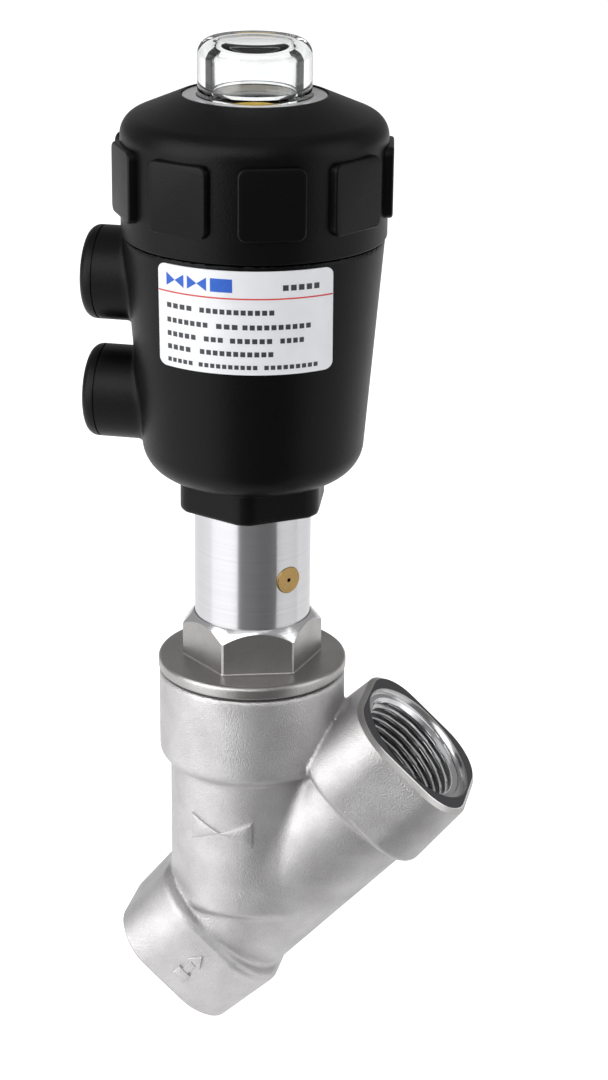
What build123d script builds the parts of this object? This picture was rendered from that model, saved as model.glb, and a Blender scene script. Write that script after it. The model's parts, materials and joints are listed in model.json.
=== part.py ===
"""Pneumatic angle seat valve: threaded body, spring-to-close piston actuator and clear indicator dome.

Lengths are millimetres and angles are degrees. The model is laid out about the point where the stem axis
crosses the flow axis. The stem axis is +Z, and the flow axis leans from +Z towards +X. Every piece is then
moved so that the origin lies where the inlet thread begins, on the centre line of the inlet port.
Directions round the stem are polar angles in the XY plane, counted from +X towards +Y.
"""

from build123d import *
import math
import os

# ---- fits ----
running_gap = 0.06
slip_gap = 0.3
seat_gap = 0.05
press_gap = 0.02

# ---- spring wire ----
wire_sides = 8

# ---- flow axis and ports ----
flow_lean = 43
inlet_reach = 24.3
outlet_reach = 55
port_thread_r = 12.06
port_thread_length = 14.8
port_recess_r = 15
port_recess_depth = 1.2
passage_r = 11
inlet_way_end = 5
outlet_way_start = 8

# ---- valve body ----
hub_depth = 32.6
hub_breadth = 33.6
hub_corner_r = 10.7
hub_length = 15
hub_slope = 3
hub_rim = 0.4
hub_draft = 4
port_bevel = 45
run_pipe_depth = 34.4
run_pipe_breadth = 32.6
barrel_r = 17.9
barrel_low = 1.7
head_r = 20.3
head_low = 34.2
head_step = 1.2
body_top = 54.9
bonnet_thread_r = 17.2
bonnet_thread_low = 40.7
chamber_r = 14
seat_top = 8.7
seat_bore_r = 10
seat_land_width = 1.2
seat_land_height = 0.8

# ---- bonnet ----
gasket_thickness = 0.6
gasket_width = 2
bonnet_disc_r = 20.5
bonnet_disc_thickness = 2.8
bonnet_disc_round = 0.7
bonnet_hex_flats = 26.5
bonnet_hex_height = 10
bonnet_hex_turn = 18
bonnet_hex_bevel = 2.6
bonnet_shank_length = 13
bonnet_socket_depth = 8
guide_bush_r = 7
guide_bush_end_gap = 1.5

# ---- stem tube ----
tube_r = 12.5
tube_bore_r = 8
tube_spigot_r = 10
tube_length = 32.4
tube_neck_r = 10.5
tube_neck_length = 10.6
plug_r = 2.95
plug_height = 78.9
plug_turn = -39.5
plug_depth = 4.1
plug_proud = 0.15
plug_vent_r = 0.45

# ---- packing inside the tube ----
spindle_r = 5
packing_washer = 1.2
packing_spring_length = 10
packing_spring_wire_r = 0.8
packing_spring_turns = 4
packing_ring_count = 4
packing_ring_height = 2.1
packing_ring_pitch = 2.4
packing_ring_vee = 1
gland_bush_height = 6
gland_nut_height = 5
gland_nut_slot = 2
wiper_height = 3
upper_bush_height = 7
rod_seal_height = 3.2

# ---- swivel mount of the actuator ----
mount_ring_r = 0.85
mount_ring_rise = 3
thrust_washer_r = 15
thrust_washer_thickness = 0.9
lock_nut_r = 14
lock_nut_height = 3.3
lock_nut_slot = 2.4
lock_nut_slots = 4

# ---- actuator housing ----
base_flats = 29.6
base_corner_r = 16.3
base_turn = 36
base_bevel = 1.6
base_drop = 7.6
floor_thickness = 6
bowl_drop = 0.5
bowl_round = 6.9
wall_low_r = 22.9
wall_high_r = 27.1
housing_height = 51
piston_bore_r = 20
spring_room_r = 22.4
piston_bore_length = 34
neck_r = 25
neck_height = 8
neck_groove_rise = 3.6
neck_groove_depth = 0.8

# ---- air ports ----
boss_r = 9.9
boss_reach = 35.3
boss_round = 2.2
boss_line_inset = 2.9
boss_line = 0.35
lower_port_rise = 15.1
upper_port_rise = 41
air_thread_r = 5.72
air_thread_length = 10
insert_r = 7.2
insert_recess = 0.3
air_passage_r = 2

# ---- cover ----
cover_over_neck = 2.5
cover_height = 29
cover_gap = 0.25
cover_slope = 22.8
cover_round = 4.8
cover_wall = 4
cover_roof = 3.6
crown_r = 15.4
pad_count = 8
pad_width = 14.6
pad_height = 14.6
pad_proud = 1
pad_corner_r = 1.8
pad_bevel = 0.7
pad_rise = 4
pad_turn = 21

# ---- indicator ----
well_r = 9.4
well_depth = 5
dome_flange_r = 14.95
dome_flange_thickness = 1.3
dome_gasket_thickness = 0.8
dome_gasket_width = 3.6
dome_r = 11.7
dome_height = 11.4
dome_wall = 2.5
dome_round = 3.2
dome_inner_round = 1.6
indicator_rod_r = 2.6
indicator_cap_r = 7.2
indicator_cap_thickness = 1.6
indicator_cap_round = 0.6
indicator_cap_lift = 0.4

# ---- piston ----
piston_rise = 11.5
piston_height = 9.5
piston_floor = 3
piston_hub_r = 8.4
piston_hub_drop = 5.5
piston_pocket_r = 15.6
piston_seal_low = 2.4
piston_seal_height = 3.4
piston_seal_depth = 2.6
wear_ring_low = 6.6
wear_ring_height = 1.8
wear_ring_depth = 1.1
piston_stud_r = 4
piston_washer_r = 7.8
piston_washer_thickness = 1.2
piston_nut_flats = 13
piston_nut_height = 5.4
stud_over_nut = 2.6
rod_cup_wall = 1.6
rod_cup_height = 6
stroke = 8

# ---- return springs ----
outer_spring_r = 13.6
outer_spring_wire_r = 1.35
outer_spring_turns = 6
inner_spring_r = 10.2
inner_spring_wire_r = 0.9
inner_spring_turns = 8
spring_seat_r = 17
spring_seat_thickness = 1.2
spring_seat_lip = 1.6

# ---- closing disc ----
seat_disc_r = 12.3
seat_disc_thickness = 3.6
holder_r = 13.2
holder_height = 8.4
holder_skirt = 2
holder_neck_r = 8.4
holder_neck_height = 6.6
spindle_socket_depth = 6
retainer_r = 8.4
retainer_thickness = 1.5
screw_r = 2.5
screw_head_r = 4.2
screw_head_height = 2.8
screw_key_flats = 3
screw_key_depth = 1.6
screw_length = 9
pin_r = 1
pin_offset = 4.7
pin_rise = 3.4
spindle_groove_depth = 1.4
spindle_groove_height = 2.6

# ---- label ----
label_low = 28.3
label_height = 21.8
label_thickness = 0.25
label_turn = -81.9
label_half_angle = 42.1
label_corner_r = 1.6

# ---- radii worked out from the sizes above ----
cover_r = neck_r + cover_over_neck
pad_flat_r = cover_r + pad_proud

# ---- heights worked out from the sizes above ----
disc_base = body_top + gasket_thickness
hex_base = disc_base + bonnet_disc_thickness
hex_top = hex_base + bonnet_hex_height
socket_floor = hex_top - bonnet_socket_depth
shank_low = disc_base - bonnet_shank_length
mount_face = hex_top + tube_length
tube_top = mount_face + tube_neck_length
floor_top = mount_face + floor_thickness
bowl_low = mount_face - bowl_drop
base_low = mount_face - base_drop
housing_top = mount_face + housing_height
neck_top = housing_top + neck_height
cover_low = housing_top + cover_gap
crown_top = cover_low + cover_height
well_floor = crown_top - well_depth
roof_low = well_floor - cover_roof
gasket_floor = crown_top - dome_flange_thickness - dome_gasket_thickness - cover_gap
flange_low = gasket_floor + dome_gasket_thickness
flange_top = flange_low + dome_flange_thickness
dome_top = flange_top + dome_height
cap_low = well_floor + indicator_cap_lift
piston_low = floor_top + piston_rise
piston_floor_top = piston_low + piston_floor
nut_low = piston_floor_top + piston_washer_thickness
stud_top = nut_low + piston_nut_height + stud_over_nut
land_top = seat_top + seat_land_height
seat_disc_low = land_top + seat_gap
seat_disc_top = seat_disc_low + seat_disc_thickness
holder_top = seat_disc_top - holder_skirt + holder_height
neck_end = holder_top + holder_neck_height
spindle_low = neck_end - spindle_socket_depth
pin_height = spindle_low + pin_rise
thread_start = inlet_reach - port_recess_depth

lean_sin = math.sin(math.radians(flow_lean))
lean_cos = math.cos(math.radians(flow_lean))
to_row_frame = Pos(thread_start * lean_sin, 0, thread_start * lean_cos)


def turned(*points):
    """Solid of revolution about the stem axis through (radius, height) points."""
    return revolve(Plane.XZ * make_face(Polyline(*points, close=True)), Axis.Z)


def ring(outer, inner, low, high):
    """Plain ring about the stem axis between two heights."""
    return turned((inner, low), (outer, low), (outer, high), (inner, high))


def rod(radius, low, high):
    """Plain round bar on the stem axis between two heights."""
    return Pos(0, 0, low) * Cylinder(radius, high - low, align=(Align.CENTER, Align.CENTER, Align.MIN))


def along_flow(radius, start, end):
    """Round bar on the flow axis, from start to end counted from the crossing towards the outlet."""
    bar = Cylinder(radius, end - start, align=(Align.CENTER, Align.CENTER, Align.MIN))
    return Rot(0, flow_lean, 0) * Pos(0, 0, start) * bar


def hexagon(flats, low, high, turn=0):
    """Hexagonal bar on the stem axis, with a corner at the polar angle turn."""
    outline = RegularPolygon(flats / 2, 6, major_radius=False, rotation=turn)
    return Pos(0, 0, low) * extrude(outline, high - low)


def coil(mean_r, wire_r, low, high, turns):
    """Open coil spring of lightly faceted wire that just fits between two heights."""
    height = high - low - 2 * wire_r
    path = Pos(0, 0, low + wire_r) * Helix(height / turns, height, mean_r)
    section = Plane(path @ 0, z_dir=path % 0) * RegularPolygon(wire_r, wire_sides)
    return sweep(section, path)


def round_ring(mean_r, wire_r, height):
    """Ring of round section about the stem axis."""
    return Pos(0, 0, height) * Torus(mean_r, wire_r)


def spanner_slots(radius, width, depth, low, count):
    """Bars that cut spanner slots into a round nut from the given height up."""
    slot = Pos(radius, 0, low) * Box(2 * depth, width, 100, align=(Align.CENTER, Align.CENTER, Align.MIN))
    return Compound(children=[Rot(0, 0, k * 360 / count) * slot for k in range(count)])


# ---------------------------------------------------------------- valve body
def port_hub(face, back):
    """Square hub with round corners that widens from its port face back to the slope into the pipe."""
    length = hub_length - hub_rim
    widening = length * math.tan(math.radians(hub_draft))
    front = RectangleRounded(hub_depth, hub_breadth, hub_corner_r)
    rear = RectangleRounded(hub_depth + 2 * widening, hub_breadth + 2 * widening, hub_corner_r + widening)
    block = loft([Pos(0, 0, length) * front, rear])
    rim = Pos(0, 0, length) * extrude(front, hub_rim, taper=port_bevel)
    slope = Rot(180, 0, 0) * extrude(rear, hub_slope, taper=port_bevel)
    hub = Pos(0, 0, abs(face) - hub_length) * (block + rim + slope)
    return Rot(0, flow_lean + back, 0) * hub


def run_pipe():
    """Slightly oval pipe along the flow axis that joins the two hubs."""
    start = hub_length - inlet_reach
    section = Ellipse(run_pipe_depth / 2, run_pipe_breadth / 2)
    bar = extrude(section, outlet_reach - hub_length - start)
    return Rot(0, flow_lean, 0) * Pos(0, 0, start) * bar


def port_bore(face, back):
    """Shallow round recess and threaded bore, cut into a hub from its port face."""
    depth = port_recess_depth + port_thread_length
    recess = Pos(0, 0, face - port_recess_depth) * Cylinder(
        port_recess_r, port_recess_depth + 1, align=(Align.CENTER, Align.CENTER, Align.MIN)
    )
    bore = Pos(0, 0, face - depth) * Cylinder(
        port_thread_r, depth + 1, align=(Align.CENTER, Align.CENTER, Align.MIN)
    )
    return Rot(0, flow_lean + back, 0) * (recess + bore)


def make_valve_body():
    """Cast body: upright barrel and head, slanting run pipe and two square threaded hubs."""
    outside = turned(
        (0, barrel_low),
        (barrel_r, barrel_low),
        (barrel_r, head_low - head_step),
        (head_r, head_low),
        (head_r, body_top),
        (0, body_top),
    )
    outside += run_pipe()
    outside += port_hub(outlet_reach, 0)
    outside += port_hub(inlet_reach, 180)
    outside -= rod(head_r + hub_breadth, body_top, body_top + outlet_reach)

    partition = rod(chamber_r, barrel_low - chamber_r, seat_top)
    chamber = turned(
        (0, land_top),
        (seat_bore_r + seat_land_width, land_top),
        (seat_bore_r + seat_land_width, seat_top),
        (chamber_r, seat_top),
        (chamber_r, bonnet_thread_low),
        (bonnet_thread_r, bonnet_thread_low),
        (bonnet_thread_r, body_top + 1),
        (0, body_top + 1),
    )
    outlet_way = along_flow(passage_r, outlet_way_start, outlet_reach) - partition
    inlet_way = along_flow(passage_r, -inlet_reach, inlet_way_end) + rod(seat_bore_r, 0, land_top + 1)
    body = outside - chamber - outlet_way - (inlet_way - chamber)
    return body - port_bore(outlet_reach, 0) - port_bore(inlet_reach, 180)


# ---------------------------------------------------------------- bonnet and tube
def make_body_gasket():
    """Flat ring clamped between the body's top face and the bonnet disc."""
    inner = bonnet_thread_r + slip_gap
    return ring(inner + gasket_width, inner, body_top, disc_base)


def make_bonnet():
    """Union piece: threaded shank, round disc and bevelled hexagon, bored for the guide bush and the tube."""
    shank = rod(bonnet_thread_r - running_gap, shank_low, disc_base)
    disc = rod(bonnet_disc_r, disc_base, hex_base)
    disc = fillet(disc.edges().filter_by(GeomType.CIRCLE), bonnet_disc_round)
    corner_r = bonnet_hex_flats / 2 / math.cos(math.radians(30))
    face_r = corner_r - bonnet_hex_bevel
    bevel = turned(
        (0, hex_base),
        (corner_r + 1, hex_base),
        (corner_r + 1, hex_top - (bonnet_hex_bevel + 1) * lean_sin),
        (face_r, hex_top),
        (0, hex_top),
    )
    hexed = hexagon(bonnet_hex_flats, hex_base, hex_top, bonnet_hex_turn) & bevel
    bonnet = shank + disc + hexed
    bonnet -= rod(guide_bush_r + press_gap, shank_low - 1, socket_floor + 1)
    bonnet -= rod(tube_spigot_r + press_gap, socket_floor, hex_top + 1)
    return bonnet


def make_guide_bush():
    """Lower guide of the spindle, pressed into the bonnet."""
    low = shank_low + guide_bush_end_gap
    return ring(guide_bush_r, spindle_r + running_gap, low, socket_floor - guide_bush_end_gap)


def make_stem_tube():
    """Turned tube: spigot in the bonnet, bright outside, and a narrower neck that carries the actuator."""
    tube = turned(
        (tube_bore_r, socket_floor),
        (tube_spigot_r, socket_floor),
        (tube_spigot_r, hex_top),
        (tube_r, hex_top),
        (tube_r, mount_face),
        (tube_neck_r, mount_face),
        (tube_neck_r, tube_top),
        (tube_bore_r, tube_top),
    )
    ring_height = mount_face + mount_ring_rise
    groove_r = tube_neck_r - 2 * mount_ring_r - seat_gap
    half_groove = mount_ring_r + seat_gap
    tube -= ring(tube_neck_r + 1, groove_r, ring_height - half_groove, ring_height + half_groove)
    hole = Cylinder(plug_r + press_gap, tube_r, align=(Align.CENTER, Align.CENTER, Align.MIN))
    tube -= Pos(0, 0, plug_height) * Rot(0, 0, plug_turn) * Rot(0, 90, 0) * hole
    return tube


def make_leak_plug():
    """Small round plug in the tube wall, with a fine vent through its centre."""
    plug = Cylinder(plug_r, plug_depth, align=(Align.CENTER, Align.CENTER, Align.MAX))
    plug = chamfer(plug.faces().sort_by(Axis.Z)[-1].edges(), plug_proud)
    plug -= Cylinder(plug_vent_r, 3 * plug_depth)
    return Pos(0, 0, plug_height) * Rot(0, 0, plug_turn) * Pos(tube_r + plug_proud, 0, 0) * Rot(0, 90, 0) * plug


# ---------------------------------------------------------------- packing stack
packing_inner = spindle_r + running_gap
packing_outer = tube_bore_r - running_gap
lower_washer_top = socket_floor + packing_washer
spring_top = lower_washer_top + packing_spring_length
packing_low = spring_top + packing_washer
packing_top = packing_low + (packing_ring_count - 1) * packing_ring_pitch + packing_ring_height + packing_ring_vee
gland_low = packing_top + seat_gap
gland_nut_low = gland_low + gland_bush_height
wiper_low = gland_nut_low + gland_nut_height
rod_seal_low = tube_top - packing_washer - rod_seal_height
upper_bush_low = rod_seal_low - upper_bush_height


def packing_ring(low):
    """One chevron ring, with a pointed top that nests in the hollow of the next."""
    middle = (packing_inner + packing_outer) / 2
    return turned(
        (packing_inner, low),
        (middle, low + packing_ring_vee),
        (packing_outer, low),
        (packing_outer, low + packing_ring_height),
        (middle, low + packing_ring_height + packing_ring_vee),
        (packing_inner, low + packing_ring_height),
    )


def make_packing_rings():
    """Stack of chevron rings that seals the spindle."""
    return Compound(children=[packing_ring(packing_low + k * packing_ring_pitch) for k in range(packing_ring_count)])


def make_packing_washers():
    """Washers below and above the packing spring."""
    lower = ring(packing_outer, spindle_r + slip_gap, socket_floor, lower_washer_top)
    upper = ring(packing_outer, spindle_r + slip_gap, spring_top, packing_low)
    return Compound(children=[lower, upper])


def make_packing_spring():
    """Spring that keeps the chevron rings loaded."""
    mean_r = (spindle_r + tube_bore_r) / 2
    return coil(mean_r, packing_spring_wire_r, lower_washer_top, spring_top, packing_spring_turns)


def make_gland_bush():
    """Bearing bush above the chevron rings."""
    return ring(packing_outer, packing_inner, gland_low, gland_nut_low)


def make_gland_nut():
    """Slotted ring nut that closes the packing chamber."""
    nut = ring(packing_outer, spindle_r + slip_gap, gland_nut_low, wiper_low)
    return nut - spanner_slots(packing_outer, gland_nut_slot, 1, wiper_low - gland_nut_slot, 2)


def make_stem_wiper():
    """Soft wiper that keeps dirt out of the packing."""
    return turned(
        (packing_inner, wiper_low),
        (packing_outer, wiper_low),
        (packing_outer, wiper_low + wiper_height * 2 / 3),
        (packing_inner + 1, wiper_low + wiper_height),
        (packing_inner, wiper_low + wiper_height),
    )


def make_upper_bush():
    """Upper guide of the spindle, at the top of the tube."""
    return ring(packing_outer, packing_inner, upper_bush_low, rod_seal_low)


def make_rod_seal():
    """Air seal between the tube and the spindle."""
    return ring(packing_outer, packing_inner, rod_seal_low, rod_seal_low + rod_seal_height)


def make_rod_seal_washer():
    """Washer that keeps the air seal in the tube."""
    return ring(packing_outer, spindle_r + slip_gap, rod_seal_low + rod_seal_height, tube_top)


# ---------------------------------------------------------------- swivel mount
def make_mount_o_ring():
    """Ring in the tube's neck that seals the turning housing."""
    return round_ring(tube_neck_r - mount_ring_r, mount_ring_r, mount_face + mount_ring_rise)


def make_thrust_washer():
    """Slippery washer between the housing's floor and the lock nut."""
    inner = tube_neck_r + slip_gap
    return ring(thrust_washer_r, inner, floor_top + press_gap, floor_top + thrust_washer_thickness)


def make_tube_lock_nut():
    """Slotted nut that holds the actuator on the tube and lets it turn."""
    low = floor_top + thrust_washer_thickness
    nut = ring(lock_nut_r, tube_neck_r + press_gap, low, low + lock_nut_height)
    return nut - spanner_slots(lock_nut_r, lock_nut_slot, 1.2, low - 1, lock_nut_slots)


# ---------------------------------------------------------------- actuator housing
def wall_r(height):
    """Outside radius of the tapered wall at a height."""
    share = (height - bowl_low) / (housing_top - bowl_low)
    return wall_low_r + (wall_high_r - wall_low_r) * share


def boss(rise):
    """Round port boss towards -X, with a rounded rim and a fine parting line."""
    bar = Cylinder(boss_r, boss_reach - tube_r, align=(Align.CENTER, Align.CENTER, Align.MIN))
    bar = fillet(bar.faces().sort_by(Axis.Z)[-1].edges(), boss_round)
    line = Cylinder(boss_r + 1, boss_line) - Cylinder(boss_r - boss_line, boss_line)
    bar -= Pos(0, 0, boss_reach - tube_r - boss_line_inset) * line
    return Pos(-tube_r, 0, mount_face + rise) * Rot(0, -90, 0) * bar


def air_way(rise):
    """Pocket for the threaded insert and the narrow way on into the cylinder."""
    pocket = Pos(0, 0, boss_reach - insert_recess - air_thread_length) * Cylinder(
        insert_r + press_gap, air_thread_length + 2, align=(Align.CENTER, Align.CENTER, Align.MIN)
    )
    way = Pos(0, 0, piston_bore_r - 1) * Cylinder(
        air_passage_r, boss_reach - piston_bore_r, align=(Align.CENTER, Align.CENTER, Align.MIN)
    )
    return Pos(0, 0, mount_face + rise) * Rot(0, -90, 0) * (pocket + way)


def make_actuator_housing():
    """Moulded housing: hexagonal base, round bowl, tapered wall, threaded neck and two port bosses."""
    profile = make_face(
        Polyline(
            (0, bowl_low),
            (wall_low_r, bowl_low),
            (wall_high_r, housing_top),
            (neck_r, housing_top),
            (neck_r, neck_top),
            (0, neck_top),
            close=True,
        )
    )
    corner = profile.vertices().sort_by_distance((wall_low_r, bowl_low))[0]
    profile = fillet(corner, bowl_round)
    shell = revolve(Plane.XZ * profile, Axis.Z)
    base_limit = turned(
        (0, base_low),
        (base_corner_r - base_bevel, base_low),
        (base_corner_r, base_low + base_bevel),
        (base_corner_r, floor_top),
        (0, floor_top),
    )
    shell += hexagon(base_flats, base_low, floor_top, base_turn) & base_limit
    shell += boss(lower_port_rise) + boss(upper_port_rise)
    bore_top = floor_top + piston_bore_length
    shell -= turned(
        (0, floor_top),
        (piston_bore_r, floor_top),
        (piston_bore_r, bore_top),
        (spring_room_r, bore_top + spring_room_r - piston_bore_r),
        (spring_room_r, neck_top + 1),
        (0, neck_top + 1),
    )
    shell -= rod(tube_neck_r + running_gap, base_low, floor_top + 1)
    shell -= rod(tube_r + running_gap, base_low - 1, mount_face)
    groove = housing_top + neck_groove_rise
    shell -= ring(neck_r + 1, neck_r - neck_groove_depth, groove - neck_groove_depth, groove + neck_groove_depth)
    return shell - air_way(lower_port_rise) - air_way(upper_port_rise)


def make_port_inserts():
    """Threaded metal inserts moulded into the two air ports."""
    start = boss_reach - insert_recess - air_thread_length
    sleeve = Cylinder(insert_r, air_thread_length, align=(Align.CENTER, Align.CENTER, Align.MIN))
    sleeve -= Cylinder(air_thread_r, 3 * air_thread_length)
    rises = (lower_port_rise, upper_port_rise)
    return Compound(
        children=[Pos(0, 0, mount_face + rise) * Rot(0, -90, 0) * Pos(0, 0, start) * sleeve for rise in rises]
    )


def make_cover_o_ring():
    """Ring in the neck's groove that seals the cover."""
    mean_r = neck_r - neck_groove_depth / 2
    return round_ring(mean_r, neck_groove_depth / 2, housing_top + neck_groove_rise)


def make_label_plate():
    """Thin plate with round corners that follows the tapered wall."""
    low = mount_face + label_low
    high = low + label_height
    band = revolve(
        Plane.XZ
        * make_face(
            Polyline(
                (wall_r(low) + press_gap, low),
                (wall_r(low) + press_gap + label_thickness, low),
                (wall_r(high) + press_gap + label_thickness, high),
                (wall_r(high) + press_gap, high),
                close=True,
            )
        ),
        Axis.Z,
    )
    middle_r = wall_r((low + high) / 2)
    half_chord = middle_r * math.sin(math.radians(label_half_angle))
    outline = RectangleRounded(2 * half_chord, label_height, label_corner_r)
    window = extrude(Plane(origin=(0, 0, (low + high) / 2), x_dir=(0, 1, 0), z_dir=(1, 0, 0)) * outline, 2 * cover_r)
    return band & (Rot(0, 0, label_turn) * window)


# ---------------------------------------------------------------- cover
def cover_pad():
    """One raised flat pad with round corners and a bevelled border, facing +X."""
    middle = cover_low + pad_rise + pad_height / 2
    outline = RectangleRounded(pad_width, pad_height, pad_corner_r)
    face = Plane(origin=(pad_flat_r - pad_bevel, 0, middle), x_dir=(0, 1, 0), z_dir=(1, 0, 0))
    block = extrude(face * outline, neck_r + 1 + pad_bevel - pad_flat_r)
    return block + extrude(face * outline, pad_bevel, taper=45)


def make_actuator_cover():
    """Screwed cap: skirt with flat pads, rounded shoulder, shallow cone and the seat of the dome."""
    shoulder = crown_top - (cover_r - crown_r) * math.tan(math.radians(cover_slope))
    profile = make_face(
        Polyline(
            (0, cover_low),
            (cover_r, cover_low),
            (cover_r, shoulder),
            (crown_r, crown_top),
            (0, crown_top),
            close=True,
        )
    )
    corner = profile.vertices().sort_by_distance((cover_r, shoulder))[0]
    profile = fillet(corner, cover_round)
    cap = revolve(Plane.XZ * profile, Axis.Z)
    pad = cover_pad()
    for k in range(pad_count):
        cap += Rot(0, 0, pad_turn + k * 360 / pad_count) * pad
    inner_r = cover_r - cover_wall
    shoulder_in = roof_low - (inner_r - spring_seat_r - 1) * math.tan(math.radians(cover_slope))
    cap -= turned(
        (0, cover_low - 1),
        (neck_r + running_gap, cover_low - 1),
        (neck_r + running_gap, neck_top + cover_gap),
        (inner_r, neck_top + cover_gap),
        (inner_r, shoulder_in),
        (spring_seat_r + 1, roof_low),
        (0, roof_low),
    )
    cap -= rod(dome_flange_r + seat_gap, gasket_floor, crown_top + 1)
    cap -= rod(well_r, well_floor, crown_top + 1)
    cap -= rod(indicator_rod_r + slip_gap, roof_low - 1, crown_top)
    return cap


def make_spring_seat():
    """Dished washer under the cover's roof that centres the return springs."""
    top = roof_low
    low = top - spring_seat_thickness
    seat = ring(spring_seat_r, indicator_rod_r + 2 * slip_gap, low, top)
    lip = ring(spring_seat_r, spring_seat_r - spring_seat_thickness, low - spring_seat_lip, low)
    return seat + lip


def make_return_spring_outer():
    """Outer closing spring, from the piston's pocket to the seat under the cover."""
    high = roof_low - spring_seat_thickness
    return coil(outer_spring_r, outer_spring_wire_r, piston_floor_top, high, outer_spring_turns)


def make_return_spring_inner():
    """Inner closing spring."""
    high = roof_low - spring_seat_thickness
    return coil(inner_spring_r, inner_spring_wire_r, piston_floor_top, high, inner_spring_turns)


def make_indicator_dome():
    """Clear thick-walled dome with a round flange."""
    outer = rod(dome_r, flange_low, dome_top)
    outer = fillet(outer.edges().sort_by(Axis.Z)[-1], dome_round)
    outer += rod(dome_flange_r, flange_low, flange_top)
    hollow = rod(dome_r - dome_wall, flange_low - 1, dome_top - dome_wall)
    hollow = fillet(hollow.edges().sort_by(Axis.Z)[-1], dome_inner_round)
    return outer - hollow


def make_dome_gasket():
    """Flat ring under the dome's flange."""
    return ring(dome_flange_r, dome_flange_r - dome_gasket_width, gasket_floor, flange_low)


# ---------------------------------------------------------------- moving stem and piston
def make_spindle():
    """Polished spindle: groove for the disc pins below, shoulder and threaded stud for the piston above."""
    groove_low = pin_height - spindle_groove_height / 2
    groove_r = spindle_r - spindle_groove_depth
    return turned(
        (0, spindle_low),
        (spindle_r, spindle_low),
        (spindle_r, groove_low),
        (groove_r, groove_low),
        (groove_r, groove_low + spindle_groove_height),
        (spindle_r, groove_low + spindle_groove_height),
        (spindle_r, piston_low),
        (piston_stud_r, piston_low),
        (piston_stud_r, stud_top),
        (0, stud_top),
    )


def make_piston():
    """Piston with a seal groove, a guide ring groove, a pocket for the springs and a short hub below."""
    outer_r = piston_bore_r - 2 * running_gap
    top = piston_low + piston_height
    seal_low = piston_low + piston_seal_low
    ring_low = piston_low + wear_ring_low
    return turned(
        (spindle_r + press_gap, piston_low - piston_hub_drop),
        (piston_hub_r, piston_low - piston_hub_drop),
        (piston_hub_r, piston_low),
        (outer_r, piston_low),
        (outer_r, seal_low),
        (outer_r - piston_seal_depth, seal_low),
        (outer_r - piston_seal_depth, seal_low + piston_seal_height),
        (outer_r, seal_low + piston_seal_height),
        (outer_r, ring_low),
        (outer_r - wear_ring_depth, ring_low),
        (outer_r - wear_ring_depth, ring_low + wear_ring_height),
        (outer_r, ring_low + wear_ring_height),
        (outer_r, top),
        (piston_pocket_r, top),
        (piston_pocket_r, piston_floor_top),
        (piston_stud_r + press_gap, piston_floor_top),
        (piston_stud_r + press_gap, piston_low),
        (spindle_r + press_gap, piston_low),
    )


def make_piston_seal():
    """Lip seal in the piston's lower groove, open to the air below."""
    outer_r = piston_bore_r - running_gap
    inner_r = piston_bore_r - 2 * running_gap - piston_seal_depth + press_gap
    low = piston_low + piston_seal_low + press_gap
    high = low + piston_seal_height - 2 * press_gap
    third = (outer_r - inner_r) / 3
    return turned(
        (inner_r, low),
        (inner_r + third, low),
        (inner_r + 1.5 * third, low + third),
        (inner_r + 2 * third, low),
        (outer_r, low),
        (outer_r - third / 2, high),
        (inner_r, high),
    )


def make_piston_guide_ring():
    """Slippery guide band in the piston's upper groove."""
    outer_r = piston_bore_r - running_gap
    inner_r = piston_bore_r - 2 * running_gap - wear_ring_depth + press_gap
    low = piston_low + wear_ring_low + press_gap
    return ring(outer_r, inner_r, low, low + wear_ring_height - 2 * press_gap)


def make_piston_washer():
    """Washer under the piston nut."""
    return ring(piston_washer_r, piston_stud_r + press_gap, piston_floor_top, nut_low)


def make_piston_nut():
    """Hexagon nut that clamps the piston to the spindle."""
    nut = hexagon(piston_nut_flats, nut_low, nut_low + piston_nut_height)
    return nut - rod(piston_stud_r + press_gap, nut_low - 1, nut_low + piston_nut_height + 1)


def make_indicator_rod():
    """Rod with a cup that snaps over the stud and carries the indicator cap."""
    low = stud_top + seat_gap - rod_cup_wall
    cup_r = piston_stud_r + press_gap + rod_cup_wall
    return turned(
        (piston_stud_r + press_gap, low),
        (cup_r, low),
        (cup_r, low + rod_cup_height - rod_cup_wall),
        (indicator_rod_r, low + rod_cup_height),
        (indicator_rod_r, cap_low + indicator_cap_thickness / 2),
        (0, cap_low + indicator_cap_thickness / 2),
        (0, stud_top + seat_gap),
        (piston_stud_r + press_gap, stud_top + seat_gap),
    )


def make_indicator_cap():
    """Coloured disc that shows the stem's position inside the dome."""
    cap = rod(indicator_cap_r, cap_low, cap_low + indicator_cap_thickness)
    cap = fillet(cap.edges().sort_by(Axis.Z)[-1], indicator_cap_round)
    return cap - rod(indicator_rod_r + press_gap, cap_low - 1, cap_low + indicator_cap_thickness / 2 + press_gap)


# ---------------------------------------------------------------- closing disc
def make_disc_holder():
    """Swivelling holder: skirt round the soft disc, neck round the spindle, and two cross holes for the pins."""
    low = seat_disc_top - holder_skirt
    holder = turned(
        (0, seat_disc_top),
        (seat_disc_r + press_gap, seat_disc_top),
        (seat_disc_r + press_gap, low),
        (holder_r, low),
        (holder_r, holder_top - holder_skirt),
        (holder_neck_r, holder_top),
        (holder_neck_r, neck_end),
        (0, neck_end),
    )
    holder -= rod(spindle_r + 2 * running_gap, spindle_low - seat_gap, neck_end + 1)
    holder -= rod(screw_r + press_gap, seat_disc_top - 1, seat_disc_low - retainer_thickness + screw_length + seat_gap)
    hole = Rot(90, 0, 0) * Cylinder(pin_r + press_gap, 4 * holder_r)
    for side in (-1, 1):
        holder -= Pos(side * pin_offset, 0, pin_height) * hole
    return holder


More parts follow.
